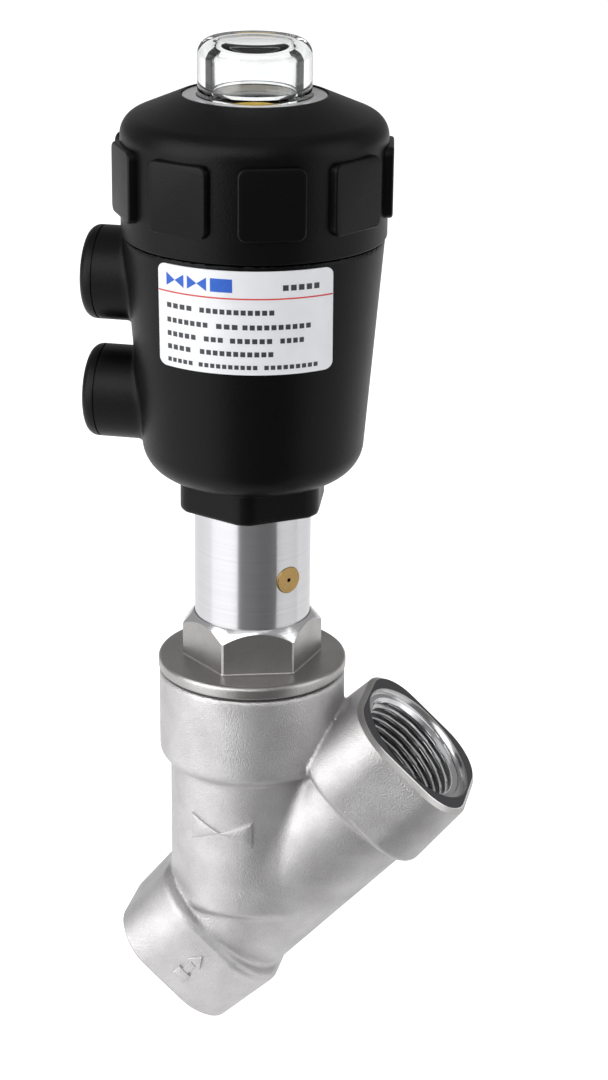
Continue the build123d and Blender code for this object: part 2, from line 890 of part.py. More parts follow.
def make_disc_pins():
    """Two cross pins in the holder that run in the spindle's groove and let the holder swivel."""
    length = 2 * math.sqrt(holder_neck_r**2 - (pin_offset + pin_r) ** 2)
    pin = Rot(90, 0, 0) * Cylinder(pin_r, length)
    return Compound(children=[Pos(side * pin_offset, 0, pin_height) * pin for side in (-1, 1)])


def make_seat_disc():
    """Soft sealing disc that closes on the body's seat."""
    return ring(seat_disc_r, screw_r + press_gap, seat_disc_low, seat_disc_top)


def make_disc_retainer():
    """Washer that clamps the soft disc into the holder."""
    return ring(retainer_r, screw_r + press_gap, seat_disc_low - retainer_thickness, seat_disc_low)


def make_disc_screw():
    """Socket screw from below through washer and soft disc into the holder."""
    head_top = seat_disc_low - retainer_thickness
    screw = rod(screw_r, head_top, head_top + screw_length)
    screw += rod(screw_head_r, head_top - screw_head_height, head_top)
    key_low = head_top - screw_head_height
    return screw - hexagon(screw_key_flats, key_low - 1, key_low + screw_key_depth)


pieces = {
    "valve_body": make_valve_body,
    "body_gasket": make_body_gasket,
    "bonnet": make_bonnet,
    "guide_bush": make_guide_bush,
    "stem_tube": make_stem_tube,
    "leak_plug": make_leak_plug,
    "packing_washers": make_packing_washers,
    "packing_spring": make_packing_spring,
    "packing_rings": make_packing_rings,
    "gland_bush": make_gland_bush,
    "gland_nut": make_gland_nut,
    "stem_wiper": make_stem_wiper,
    "upper_bush": make_upper_bush,
    "rod_seal": make_rod_seal,
    "rod_seal_washer": make_rod_seal_washer,
    "mount_o_ring": make_mount_o_ring,
    "thrust_washer": make_thrust_washer,
    "tube_lock_nut": make_tube_lock_nut,
    "actuator_housing": make_actuator_housing,
    "port_inserts": make_port_inserts,
    "cover_o_ring": make_cover_o_ring,
    "label_plate": make_label_plate,
    "actuator_cover": make_actuator_cover,
    "spring_seat": make_spring_seat,
    "return_spring_outer": make_return_spring_outer,
    "return_spring_inner": make_return_spring_inner,
    "indicator_dome": make_indicator_dome,
    "dome_gasket": make_dome_gasket,
    "spindle": make_spindle,
    "piston": make_piston,
    "piston_seal": make_piston_seal,
    "piston_guide_ring": make_piston_guide_ring,
    "piston_washer": make_piston_washer,
    "piston_nut": make_piston_nut,
    "indicator_rod": make_indicator_rod,
    "indicator_cap": make_indicator_cap,
    "disc_holder": make_disc_holder,
    "disc_pins": make_disc_pins,
    "seat_disc": make_seat_disc,
    "disc_retainer": make_disc_retainer,
    "disc_screw": make_disc_screw,
}

os.makedirs("parts", exist_ok=True)
for name, make in pieces.items():
    export_step(to_row_frame * make(), f"parts/{name}.step")
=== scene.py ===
import json
import logging
import math
from dataclasses import dataclass
from enum import Enum
from typing import Callable, Mapping, Sequence

import bmesh
import bpy
import numpy as np
from mathutils import Matrix, Vector


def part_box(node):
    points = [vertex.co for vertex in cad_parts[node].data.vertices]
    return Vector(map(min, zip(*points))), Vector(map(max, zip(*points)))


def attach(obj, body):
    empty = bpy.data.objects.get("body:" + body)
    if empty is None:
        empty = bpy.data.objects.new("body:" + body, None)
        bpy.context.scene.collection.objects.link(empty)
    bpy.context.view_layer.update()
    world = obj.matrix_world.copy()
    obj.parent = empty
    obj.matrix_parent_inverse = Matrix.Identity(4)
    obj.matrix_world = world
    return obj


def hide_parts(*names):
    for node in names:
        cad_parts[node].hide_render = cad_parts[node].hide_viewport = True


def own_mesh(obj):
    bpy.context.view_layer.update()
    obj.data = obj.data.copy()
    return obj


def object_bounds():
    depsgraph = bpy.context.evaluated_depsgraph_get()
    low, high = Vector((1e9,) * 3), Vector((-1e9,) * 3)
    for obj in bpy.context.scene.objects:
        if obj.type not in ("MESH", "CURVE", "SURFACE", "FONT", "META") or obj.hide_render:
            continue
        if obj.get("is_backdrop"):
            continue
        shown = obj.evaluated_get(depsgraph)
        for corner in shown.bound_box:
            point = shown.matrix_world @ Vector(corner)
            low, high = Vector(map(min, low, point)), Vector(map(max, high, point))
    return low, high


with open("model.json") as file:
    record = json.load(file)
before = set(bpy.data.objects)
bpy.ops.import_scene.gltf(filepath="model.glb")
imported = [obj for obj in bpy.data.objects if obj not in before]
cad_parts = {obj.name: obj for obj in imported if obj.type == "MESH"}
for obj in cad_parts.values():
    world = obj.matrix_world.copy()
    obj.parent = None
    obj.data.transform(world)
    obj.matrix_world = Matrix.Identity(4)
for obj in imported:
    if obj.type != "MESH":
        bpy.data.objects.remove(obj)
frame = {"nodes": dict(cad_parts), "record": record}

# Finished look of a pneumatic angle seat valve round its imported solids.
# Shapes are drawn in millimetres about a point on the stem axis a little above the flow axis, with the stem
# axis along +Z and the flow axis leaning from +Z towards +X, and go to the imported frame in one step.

log = logging.getLogger("angle_seat_valve")

MM = 0.001
WELD = 1e-7
LEAN = math.radians(43)
SIN, COS = math.sin(LEAN), math.cos(LEAN)
THREAD_START = 23.1
CROSSING = np.array([0.0, 0.0, -2.7])
ORIGIN = np.array([THREAD_START * SIN, 0.0, THREAD_START * COS]) - CROSSING
FLOW = np.array([SIN, 0.0, COS])
ACROSS = np.array([COS, 0.0, -SIN])
SIDEWAYS = np.array([0.0, 1.0, 0.0])
Drawn = tuple[np.ndarray, list]
Flat = list[tuple[float, float]]
Profile = Sequence[tuple[float, ...]]
Field = Callable[[np.ndarray], np.ndarray]
Lay = Callable[[np.ndarray, float], np.ndarray]
Piece = bpy.types.Object
Socket = bpy.types.NodeSocket
Tree = bpy.types.NodeTree


class Body(Enum):
    """Groups of pieces that move together and that get finished shapes."""

    VALVE = "valve"
    ACTUATOR = "actuator"


class Slot(Enum):
    """Material slots of the record."""

    CAST = "cast_stainless"
    TURNED = "turned_stainless"
    POLISHED = "polished_stainless"
    SPRING = "spring_steel"
    ALUMINIUM = "piston_aluminium"
    BRASS = "brass"
    BLACK = "black_plastic"
    CLEAR = "clear_plastic"
    YELLOW = "yellow_plastic"
    LABEL = "label_silver"
    PTFE = "ptfe"
    GRAPHITE = "graphite"
    RUBBER = "rubber"


# ---------------------------------------------------------------- drawing
def box_corners(half_width: float, half_height: float, *radius: float) -> Profile:
    """Corners of a rectangle round zero, in order, each with the radius when one is given."""
    signs = ((-1, -1), (1, -1), (1, 1), (-1, 1))
    return [(across * half_width, up * half_height, *radius) for across, up in signs]


def rounded(corners: Profile, steps: int = 6) -> Flat:
    """Rounds the corners of a closed outline.

    Args:
        corners: Corners (across, up) or (across, up, radius), in order.
        steps: Segments in each rounded corner.

    Returns:
        The points of the outline.
    """
    points: Flat = []
    for k, corner in enumerate(corners):
        here = np.array(corner[:2], float)
        radius = corner[2] if len(corner) > 2 else 0.0
        if radius <= 0:
            points.append((float(here[0]), float(here[1])))
            continue
        back, ahead = (np.array(corners[i % len(corners)][:2], float) - here for i in (k - 1, k + 1))
        back /= np.linalg.norm(back)
        ahead /= np.linalg.norm(ahead)
        half = math.acos(float(np.clip(back @ ahead, -1, 1))) / 2
        reach = radius / math.tan(half)
        middle = back + ahead
        centre = here + middle / np.linalg.norm(middle) * radius / math.sin(half)
        first, last = (here + way * reach - centre for way in (back, ahead))
        start = math.atan2(first[1], first[0])
        turn = (math.atan2(last[1], last[0]) - start + math.pi) % (2 * math.pi) - math.pi
        for angle in (start + turn * j / steps for j in range(steps + 1)):
            points.append((centre[0] + radius * math.cos(angle), centre[1] + radius * math.sin(angle)))
    return points


def round_stem(radius: np.ndarray | float, angles: np.ndarray, height: np.ndarray | float) -> np.ndarray:
    """Points at radii, angles and heights round the stem axis."""
    return np.stack(np.broadcast_arrays(radius * np.cos(angles), radius * np.sin(angles), height), -1)


def lathe(outline: Profile, segments: int = 128) -> Drawn:
    """Turns a closed (radius, height) outline about the stem axis.

    Args:
        outline: Points of the outline, in order.
        segments: Faces round the axis.

    Returns:
        Vertices and faces.
    """
    rim = np.array([p[:2] for p in outline], float)
    angles = np.linspace(0, 2 * math.pi, segments, endpoint=False)
    count = len(rim)
    faces = []
    for a in range(segments):
        low, high = a * count, (a + 1) % segments * count
        faces += [(low + i, high + i, high + (i + 1) % count, low + (i + 1) % count) for i in range(count)]
    return round_stem(rim[:, 0], angles[:, None], rim[:, 1]).reshape(-1, 3), faces


def stack_rings(rings: Sequence[np.ndarray], capped: bool = True) -> Drawn:
    """Joins rings of equal length into a skin, with a flat cap on each end.

    Args:
        rings: Arrays of points, each (count, 3).
        capped: Whether both ends get a cap; otherwise the last ring joins the first.

    Returns:
        Vertices and faces.
    """
    count = len(rings[0])
    faces: list = []
    for level in range(len(rings) - capped):
        low, high = level * count, (level + 1) % len(rings) * count
        faces += [(low + i, low + (i + 1) % count, high + (i + 1) % count, high + i) for i in range(count)]
    if capped:
        faces.append(tuple(range(count))[::-1])
        faces.append(tuple(range((len(rings) - 1) * count, len(rings) * count)))
    return np.concatenate(rings), faces


def gather(parts: Sequence[Drawn]) -> Drawn:
    """Puts several shapes into one."""
    faces: list = []
    total = 0
    for verts, own in parts:
        faces += [tuple(total + i for i in face) for face in own]
        total += len(verts)
    return np.concatenate([verts for verts, _ in parts]), faces


def along_flow(drawn: Drawn, back: bool = False) -> Drawn:
    """Lays a shape drawn along +Z onto the flow axis.

    Args:
        drawn: Vertices and faces.
        back: Whether it points to the inlet instead of the outlet.

    Returns:
        The shape in its place.
    """
    verts, faces = drawn
    if back:
        verts = verts * np.array([-1, 1, -1])
    return verts[:, :1] * ACROSS + verts[:, 1:2] * SIDEWAYS + verts[:, 2:] * FLOW + CROSSING, faces


def flow_place(p: np.ndarray) -> tuple[np.ndarray, np.ndarray]:
    """Distances of points along the flow axis from the crossing, and across it in the plane of both axes."""
    return (p - CROSSING) @ FLOW, (p - CROSSING) @ ACROSS


def stand(point: Sequence[float]) -> Matrix:
    """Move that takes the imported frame's origin to a drawn point."""
    return Matrix.Translation(Vector((np.array(point) + ORIGIN) * MM))


def outward(mesh: bpy.types.Mesh, weld: float = WELD, drawn: bool = False) -> None:
    """Welds a mesh and points its faces outwards.

    Args:
        mesh: The mesh.
        weld: Distance in metres under which vertices are joined.
        drawn: Whether it comes straight from a drawing, whose slivers go as well.
    """
    work = bmesh.new()
    work.from_mesh(mesh)
    bmesh.ops.remove_doubles(work, verts=work.verts, dist=weld)
    if drawn:
        bmesh.ops.dissolve_degenerate(work, edges=work.edges, dist=weld)
    bmesh.ops.recalc_face_normals(work, faces=work.faces)
    work.to_mesh(mesh)
    work.free()


def new_object(name: str, drawn: Drawn | None = None, weld: float = WELD) -> Piece:
    """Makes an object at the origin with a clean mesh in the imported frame.

    Args:
        name: Name of the object and of its mesh.
        drawn: Vertices in millimetres and faces, or nothing for an empty mesh.
        weld: Distance in metres under which vertices are joined.

    Returns:
        The object.
    """
    mesh = bpy.data.meshes.new(name)
    if drawn:
        verts, faces = drawn
        mesh.from_pydata(((verts + ORIGIN) * MM).tolist(), [], [tuple(map(int, f)) for f in faces])
        outward(mesh, weld, True)
    return link(bpy.data.objects.new(name, mesh))


def link(made: Piece) -> Piece:
    """Links an object to the scene."""
    bpy.context.scene.collection.objects.link(made)
    return made


def settle(piece: Piece) -> Piece:
    """Turns a piece with modifiers into a plain mesh.

    Args:
        piece: The object, whose modifiers go.

    Returns:
        The same object with its final mesh.
    """
    bpy.context.view_layer.update()
    graph = bpy.context.evaluated_depsgraph_get()
    done = bpy.data.meshes.new_from_object(piece.evaluated_get(graph), depsgraph=graph)
    done.name = piece.data.name + "_done"
    piece.modifiers.clear()
    piece.data = done
    return piece


def carve(piece: Piece, tools: Sequence[Piece], mode: str = "DIFFERENCE") -> None:
    """Cuts tools out of a piece, or joins them to it, and removes them.

    Args:
        piece: The object that is worked on, which stays a plain mesh.
        tools: Solid objects.
        mode: Boolean operation.
    """
    for tool in tools:
        step = piece.modifiers.new("cut", "BOOLEAN")
        step.operation = mode
        step.solver = "EXACT"
        step.material_mode = "TRANSFER"
        if not tool.data.materials:
            tool.data.materials.append(piece.data.materials[0])
        step.object = tool
        settle(piece)
    for tool in tools:
        bpy.data.objects.remove(tool)


# ---------------------------------------------------------------- soft castings and mouldings
def meet(a: np.ndarray, b: np.ndarray, radius: float) -> np.ndarray:
    """Common part of two distance fields with its edge rounded to a radius."""
    corner = np.hypot(np.maximum(a + radius, 0), np.maximum(b + radius, 0))
    return np.minimum(np.maximum(a, b), -radius) + corner


def blend(a: np.ndarray, b: np.ndarray, radius: float) -> np.ndarray:
    """Union of two distance fields with its corner filleted to a radius."""
    corner = np.hypot(np.maximum(radius - a, 0), np.maximum(radius - b, 0))
    return np.maximum(np.minimum(a, b), radius) - corner


@dataclass(frozen=True)
class Mould:
    """Skins a distance field with a mesh of square cells.

    Attributes:
        low: Lowest corner of the block, in millimetres.
        high: Highest corner of the block.
        cell: Edge of a cell.
    """

    low: tuple[float, float, float]
    high: tuple[float, float, float]
    cell: float = 0.62

    def pour(self, field: Field) -> Drawn:
        """Skins the surface where the field is zero.

        Args:
            field: Signed distance at points (count, 3), below zero inside.

        Returns:
            Vertices and faces.
        """
        axes = [np.arange(a, b + self.cell, self.cell) for a, b in zip(self.low, self.high)]
        grid = np.stack(np.meshgrid(*axes, indexing="ij"), -1)
        value = field(grid.reshape(-1, 3)).reshape(grid.shape[:3])
        inside = value < 0
        corners = [(i, j, k) for i in (0, 1) for j in (0, 1) for k in (0, 1)]
        nx, ny, nz = (n - 1 for n in value.shape)
        held = sum(inside[i : i + nx, j : j + ny, k : k + nz].astype(np.int8) for i, j, k in corners)
        cells = np.argwhere((held > 0) & (held < 8))
        label = np.full((nx, ny, nz), -1, np.int64)
        label[tuple(cells.T)] = np.arange(len(cells))
        total = np.zeros((len(cells), 3))
        hits = np.zeros(len(cells))
        for start in corners:
            for axis in (k for k in range(3) if not start[k]):
                a = cells + np.array(start)
                b = a + np.eye(3, dtype=int)[axis]
                va, vb = value[tuple(a.T)], value[tuple(b.T)]
                cross = (va < 0) != (vb < 0)
                share = np.where(cross, va / np.where(cross, va - vb, 1), 0)
                pa, pb = grid[tuple(a.T)], grid[tuple(b.T)]
                total += np.where(cross[:, None], pa + (pb - pa) * share[:, None], 0)
                hits += cross
        return self._pull(total / hits[:, None], field), self._faces(inside, label)

    def _pull(self, verts: np.ndarray, field: Field) -> np.ndarray:
        """Moves vertices onto the surface.

        Args:
            verts: Points near the surface.
            field: Signed distance.

        Returns:
            Points on the surface.
        """
        small, rounds, least_slope, reach = 0.02, 3, 0.25, 0.4 * self.cell
        for _ in range(rounds):
            ways = small * np.eye(3)
            slope = np.stack([field(verts + way) - field(verts - way) for way in ways], -1) / (2 * small)
            size = np.maximum((slope**2).sum(-1), least_slope)
            step = -(field(verts) / size)[:, None] * slope
            verts = verts + np.clip(step, -reach, reach)
        return verts

    def _faces(self, inside: np.ndarray, label: np.ndarray) -> list:
        """Faces between neighbouring cells round each grid edge that crosses the surface.

        Args:
            inside: Which grid points lie inside.
            label: Vertex of each cell, or -1.

        Returns:
            Faces of four vertices.
        """
        faces = []
        for axis in range(3):
            one, two = (axis + 1) % 3, (axis + 2) % 3
            low = np.take(inside, range(inside.shape[axis] - 1), axis)
            high = np.take(inside, range(1, inside.shape[axis]), axis)
            edges = np.argwhere(low != high)
            for side in (one, two):
                edges = edges[(edges[:, side] > 0) & (edges[:, side] < inside.shape[side] - 1)]
            quad = []
            for da, db in ((1, 1), (0, 1), (0, 0), (1, 0)):
                cell = edges.copy()
                cell[:, one] -= da
                cell[:, two] -= db
                quad.append(label[tuple(cell.T)])
            quad = np.stack(quad, -1)
            out = inside[tuple(edges.T)]
            quad[~out] = quad[~out][:, ::-1]
            faces += quad.tolist()
        return faces


# ---------------------------------------------------------------- finishes
class Nodes:
    """Short ways to place and join shader or geometry nodes."""

    def __init__(self, tree: Tree) -> None:
        """Keeps the tree that nodes go into."""
        self.tree = tree

    def add(self, kind: str, inputs: Mapping[object, object] = {}, **settings: object) -> bpy.types.Node:
        """Places a node.

        Args:
            kind: Type of the node.
            inputs: Value or socket of each input, by name or number.
            settings: Its properties.

        Returns:
            The node.
        """
        node = self.tree.nodes.new(kind)
        for key, value in settings.items():
            setattr(node, key, value)
        for key, value in inputs.items():
            self.feed(node.inputs[key], value)
        return node

    def feed(self, socket: Socket, value: object) -> None:
        """Links a socket to another, or sets its value."""
        if isinstance(value, Socket):
            self.tree.links.new(value, socket)
        else:
            socket.default_value = value

    def sum(self, operation: str, *values: object) -> Socket:
        """Result of a Math node on numbers or sockets."""
        return self.add("ShaderNodeMath", dict(enumerate(values)), operation=operation).outputs[0]

    def ramp(self, *values: object) -> Socket:
        """Value, clamped from a low and a high to a start and an end."""
        return self.add("ShaderNodeMapRange", dict(enumerate(values))).outputs[0]

    def seen(self, mirrored: float) -> Socket:
        """Share in which a thing is seen: whole to the eye and through clear pieces, less in reflections."""
        path = self.add("ShaderNodeLightPath").outputs
        straight = self.sum("MAXIMUM", path["Is Camera Ray"], path["Is Transmission Ray"])
        return self.sum("MAXIMUM", straight, self.sum("MULTIPLY", path["Is Glossy Ray"], mirrored))


def open_tree(name: str, kind: str, inputs: Mapping[str, tuple], outputs: Mapping[str, str]) -> Nodes:
    """Opens a node group with named sockets.

    Args:
        name: Name of the group.
        kind: Type of the group.
        inputs: Type and, where it has one, default value of each input.
        outputs: Type of each output.

    Returns:
        The group's nodes.
    """
    tree = bpy.data.node_groups.new(name, kind)
    for label, (what, *value) in inputs.items():
        socket = tree.interface.new_socket(label, in_out="INPUT", socket_type="NodeSocket" + what)
        if value:
            socket.default_value = value[0]
    for label, what in outputs.items():
        tree.interface.new_socket(label, in_out="OUTPUT", socket_type="NodeSocket" + what)
    return Nodes(tree)


def noise(n: Nodes, place: Socket, size: Socket, detail: float) -> Socket:
    """Noise whose patches have a given size."""
    inputs = {"Vector": place, "Scale": n.sum("DIVIDE", 1.0, size), "Detail": detail}
    return n.add("ShaderNodeTexNoise", inputs).outputs[0]


def close_pattern(n: Nodes, tone: object, relief: object, depth: object, distance: float) -> Tree:
    """Ends a pattern group with its tone and its relief.

    Args:
        n: The group's nodes.
        tone: What goes to Tone.
        relief: Height of the relief.
        depth: Strength of the relief.
        distance: Height of the relief at full strength, in metres.

    Returns:
        The group.
    """
    bump = n.add("ShaderNodeBump", {"Strength": depth, "Distance": distance, "Height": relief})
    n.add("NodeGroupOutput", {"Tone": tone, "Normal": bump.outputs[0]})
    return n.tree


def grain_group() -> Tree:
    """Shader group for a fine blasted or moulded grain with soft blotches."""
    inputs = {"Vector": ("Vector",), "Size": ("Float", 0.0004), "Depth": ("Float", 0.1)}
    n = open_tree("fine_grain", "ShaderNodeTree", inputs, {"Tone": "Float", "Normal": "Vector"})
    given = n.add("NodeGroupInput").outputs
    blotch_size, fine_share, blotch_share = 0.008, 0.45, 0.55
    fine = noise(n, given["Vector"], given["Size"], 3.0)
    blotch = noise(n, given["Vector"], blotch_size, 4.0)
    tone = n.sum("ADD", n.sum("MULTIPLY", fine, fine_share), n.sum("MULTIPLY", blotch, blotch_share))
    return close_pattern(n, tone, fine, given["Depth"], 0.0002)


def turning_group() -> Tree:
    """Shader group for the fine rings that turning leaves round the Z axis of its Vector."""
    inputs = {"Vector": ("Vector",), "Size": ("Float", 0.00025), "Depth": ("Float", 0.05)}
    n = open_tree("turning_marks", "ShaderNodeTree", inputs, {"Tone": "Float", "Normal": "Vector"})
    given = n.add("NodeGroupInput").outputs
    x, y, z = n.add("ShaderNodeSeparateXYZ", {0: given["Vector"]}).outputs
    radius = n.sum("SQRT", n.sum("ADD", n.sum("POWER", x, 2.0), n.sum("POWER", y, 2.0)))
    place = n.add("ShaderNodeCombineXYZ", {0: radius, 2: z}).outputs[0]
    rings = noise(n, place, given["Size"], 2.0)
    return close_pattern(n, rings, rings, given["Depth"], 0.0001)


class Pattern(Enum):
    """Surface patterns of the finishes."""

    PLAIN = "plain"
    GRAIN = "grain"
    TURNED = "turned"
    PORT = "port"


@dataclass(frozen=True)
class Finish:
    """One finish.

    Attributes:
        name: Name of the material.
        dark: Colour in the low parts of the pattern.
        light: Colour in the high parts.
        rough: Roughness in the low and in the high parts.
        metallic: Metal share.
        pattern: Surface pattern.
        size: Size of the grain or the pitch of the rings, in metres.
        depth: Strength of the relief.
        clear: Share of light that passes through.
        ior: Index of refraction.
    """

    name: str
    dark: tuple[float, float, float]
    light: tuple[float, float, float]
    rough: tuple[float, float]
    metallic: float = 0.0
    pattern: Pattern = Pattern.GRAIN
    size: float = 0.0004
    depth: float = 0.0
    clear: float = 0.0
    ior: float = 1.5

    def build(self, groups: Mapping[Pattern, Tree]) -> bpy.types.Material:
        """Makes the material.

        Args:
            groups: Shader group of each pattern.

        Returns:
            The material.
        """
        material = bpy.data.materials.new(self.name)
        material.use_nodes = True
        n = Nodes(material.node_tree)
        shader = material.node_tree.nodes["Principled BSDF"].inputs
        for key, value in (
            ("Metallic", self.metallic),
            ("IOR", self.ior),
            ("Transmission Weight", self.clear),
            ("Base Color", (*self.light, 1)),
            ("Roughness", self.rough[1]),
        ):
            shader[key].default_value = value
        if self.pattern is Pattern.PLAIN:
            return material
        place = n.add("ShaderNodeTexCoord").outputs["Object"]
        if self.pattern is not Pattern.GRAIN:
            leans = self.pattern is Pattern.PORT
            inputs = {
                "Vector": place,
                "Location": (0 if leans else -float(ORIGIN[0]) * MM, 0, 0),
                "Rotation": (0, -LEAN if leans else 0.0, 0),
            }
            place = n.add("ShaderNodeMapping", inputs).outputs[0]
        inputs = {"Vector": place, "Size": self.size, "Depth": self.depth}
        group = n.add("ShaderNodeGroup", inputs, node_tree=groups[self.pattern])
        tone = n.ramp(group.outputs["Tone"], 0.3, 0.7, 0.0, 1.0)
        mix = n.add("ShaderNodeMix", {0: tone, 6: (*self.dark, 1), 7: (*self.light, 1)}, data_type="RGBA")
        n.feed(shader["Base Color"], mix.outputs[2])
        n.feed(shader["Roughness"], n.ramp(tone, 0.0, 1.0, *self.rough))
        if self.depth:
            n.feed(shader["Normal"], group.outputs["Normal"])
        return material


FINISHES = (
    Finish(
        "blasted_casting", (0.46, 0.45, 0.45), (0.68, 0.67, 0.675), (0.5, 0.42), 1, size=0.00028, depth=0.8
    ),
    # Near-black metal for the flat port faces: painted dark reflection, standing in for the dark surroundings
    # that the smooth faces reflect.
    Finish(
        "painted_dark_port_face", (0.08, 0.08, 0.085), (0.13, 0.13, 0.14), (0.24, 0.18), 1, Pattern.PORT, depth=0.02
    ),
    # Dark finish for the thread valleys: painted shade, standing in for the shade deep inside the threads.
    Finish("thread_valley_painted_shade", (0.008, 0.006, 0.005), (0.02, 0.017, 0.014), (0.5, 0.4), 0.6, size=0.0006),
    Finish("bright_recess", (0.6, 0.6, 0.61), (0.68, 0.68, 0.69), (0.22, 0.17), 1, Pattern.PORT, depth=0.04),
    # The bonnet's own blasted finish; on the port chamfers its darker grey is painted shade.
    Finish("blasted_bonnet_and_chamfer_shade", (0.35, 0.34, 0.335), (0.5, 0.49, 0.48), (0.36, 0.28), 1, size=0.0003, depth=0.3),
    Finish("bright_turning", (0.8, 0.8, 0.82), (0.92, 0.92, 0.93), (0.2, 0.14), 1, Pattern.TURNED, depth=0.12),
    Finish("tube_steel", (0.62, 0.62, 0.64), (0.67, 0.67, 0.69), (0.2, 0.16), 1, Pattern.TURNED, depth=0.015),
    Finish("polished_steel", (0.72, 0.72, 0.73), (0.8, 0.8, 0.81), (0.12, 0.08), 1, Pattern.TURNED, depth=0.03),
    Finish("spring_wire", (0.3, 0.3, 0.31), (0.42, 0.42, 0.43), (0.4, 0.3), 1, size=0.0006, depth=0.1),
    Finish("piston_alloy", (0.68, 0.69, 0.7), (0.78, 0.79, 0.8), (0.34, 0.26), 1, Pattern.TURNED, depth=0.1),
    Finish("brass", (0.36, 0.235, 0.09), (0.5, 0.33, 0.13), (0.4, 0.3), 1, size=0.0005, depth=0.15),
    # Pale grey for the dome's gasket: painted reflection, standing in for the bright ring that the clear flange
    # shows.
    Finish("gasket_painted_reflection", (0.5, 0.5, 0.51), (0.58, 0.58, 0.59), (0.3, 0.24), size=0.001),
    Finish(
        "black_moulding", (0.0014, 0.0014, 0.0018), (0.0026, 0.0026, 0.0032), (0.38, 0.32),
        size=0.00035, depth=0.25, ior=1.24,
    ),
    Finish(
        "clear_dome", (0.97, 0.98, 0.98), (0.97, 0.98, 0.98), (0.0, 0.0),
        pattern=Pattern.PLAIN, clear=1, ior=1.49,
    ),
    # Pale grey for the clear dome's flange: painted reflection of the bright surroundings.
    Finish("flange_painted_reflection", (0.5, 0.5, 0.52), (0.56, 0.56, 0.58), (0.16, 0.1), size=0.002),
    Finish("yellow_cap", (0.75, 0.46, 0.02), (0.85, 0.56, 0.03), (0.4, 0.34), size=0.0008, depth=0.05),
    Finish("silver_film", (0.82, 0.83, 0.86), (0.88, 0.89, 0.92), (0.34, 0.28), 0.1, size=0.003),
    Finish("white_ptfe", (0.76, 0.75, 0.72), (0.84, 0.83, 0.8), (0.5, 0.42), size=0.0008, depth=0.05),
    Finish("graphite_fibre", (0.03, 0.03, 0.032), (0.06, 0.06, 0.062), (0.55, 0.45), size=0.0005, depth=0.2),
    Finish("black_rubber", (0.018, 0.018, 0.018), (0.028, 0.028, 0.028), (0.6, 0.5), size=0.0006, depth=0.1),
    Finish("print_dark", (0.03, 0.03, 0.035), (0.05, 0.05, 0.055), (0.45, 0.4), size=0.001),
    Finish("print_red", (0.6, 0.03, 0.03), (0.7, 0.05, 0.04), (0.45, 0.4), size=0.001),
    Finish("print_blue", (0.01, 0.09, 0.5), (0.015, 0.13, 0.62), (0.45, 0.4), size=0.001),
)

CAD_FINISH = {
    Slot.CAST: "blasted_casting",
    Slot.TURNED: "bright_turning",
    Slot.POLISHED: "polished_steel",
    Slot.SPRING: "spring_wire",
    Slot.ALUMINIUM: "piston_alloy",
    Slot.BRASS: "brass",
    Slot.BLACK: "black_moulding",
    Slot.CLEAR: "clear_dome",
    Slot.YELLOW: "yellow_cap",
    Slot.LABEL: "silver_film",
    Slot.PTFE: "white_ptfe",
    Slot.GRAPHITE: "graphite_fibre",
    Slot.RUBBER: "black_rubber",
}

# The dome gasket's pale grey is painted reflection for the flange ring.
NODE_FINISH = {"stem_tube": "tube_steel", "dome_gasket": "gasket_painted_reflection"}


class Workshop:
    """Holds the materials and hands finished pieces to the frame."""

    def __init__(self) -> None:
        """Builds every material once."""
        turning = turning_group()
        groups = {Pattern.GRAIN: grain_group(), Pattern.TURNED: turning, Pattern.PORT: turning}
        self.materials = {f.name: f.build(groups) for f in FINISHES}

    def paint(self, piece: Piece, *finishes: str) -> int:
        """Adds finishes to a piece.

        Args:
            piece: The object.
            finishes: Names of the finishes.

        Returns:
            Slot number of the first one.
        """
        first = len(piece.data.materials)
        for finish in finishes:
            piece.data.materials.append(self.materials[finish])
        return first

    def hand_over(
        self, piece: Piece, body: Body, slot: Slot, finish: str, node: str = "", sharp: float = 0
    ) -> None:
        """Gives a piece its shading, its finish and its body, and hides the node that it stands for.

        Args:
            piece: The finished object.
            body: What it moves with.
            slot: Material slot of the record; not used.
            finish: Name of the finish, for a piece that has none yet.
            node: Node that it stands for.
            sharp: Angle in degrees above which edges stay hard; at zero the faces stay flat.
        """
        if sharp:
            piece.data.shade_smooth()
            piece.data.set_sharp_from_angle(angle=math.radians(sharp))
        if not piece.data.materials:
            self.paint(piece, finish)
        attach(piece, body.value)
        if node:
            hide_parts(node)
        log.info("%s: %d faces", piece.name, len(piece.data.polygons))

    def dress_solids(self) -> None:
        """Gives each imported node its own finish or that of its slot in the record."""
        slots = {row["node"]: row["material_slot"] for row in frame["record"]["subparts"]}
        for name, node in frame["nodes"].items():
            node.data.materials.clear()
            self.paint(node, NODE_FINISH.get(name, CAD_FINISH[Slot(slots[name])]))


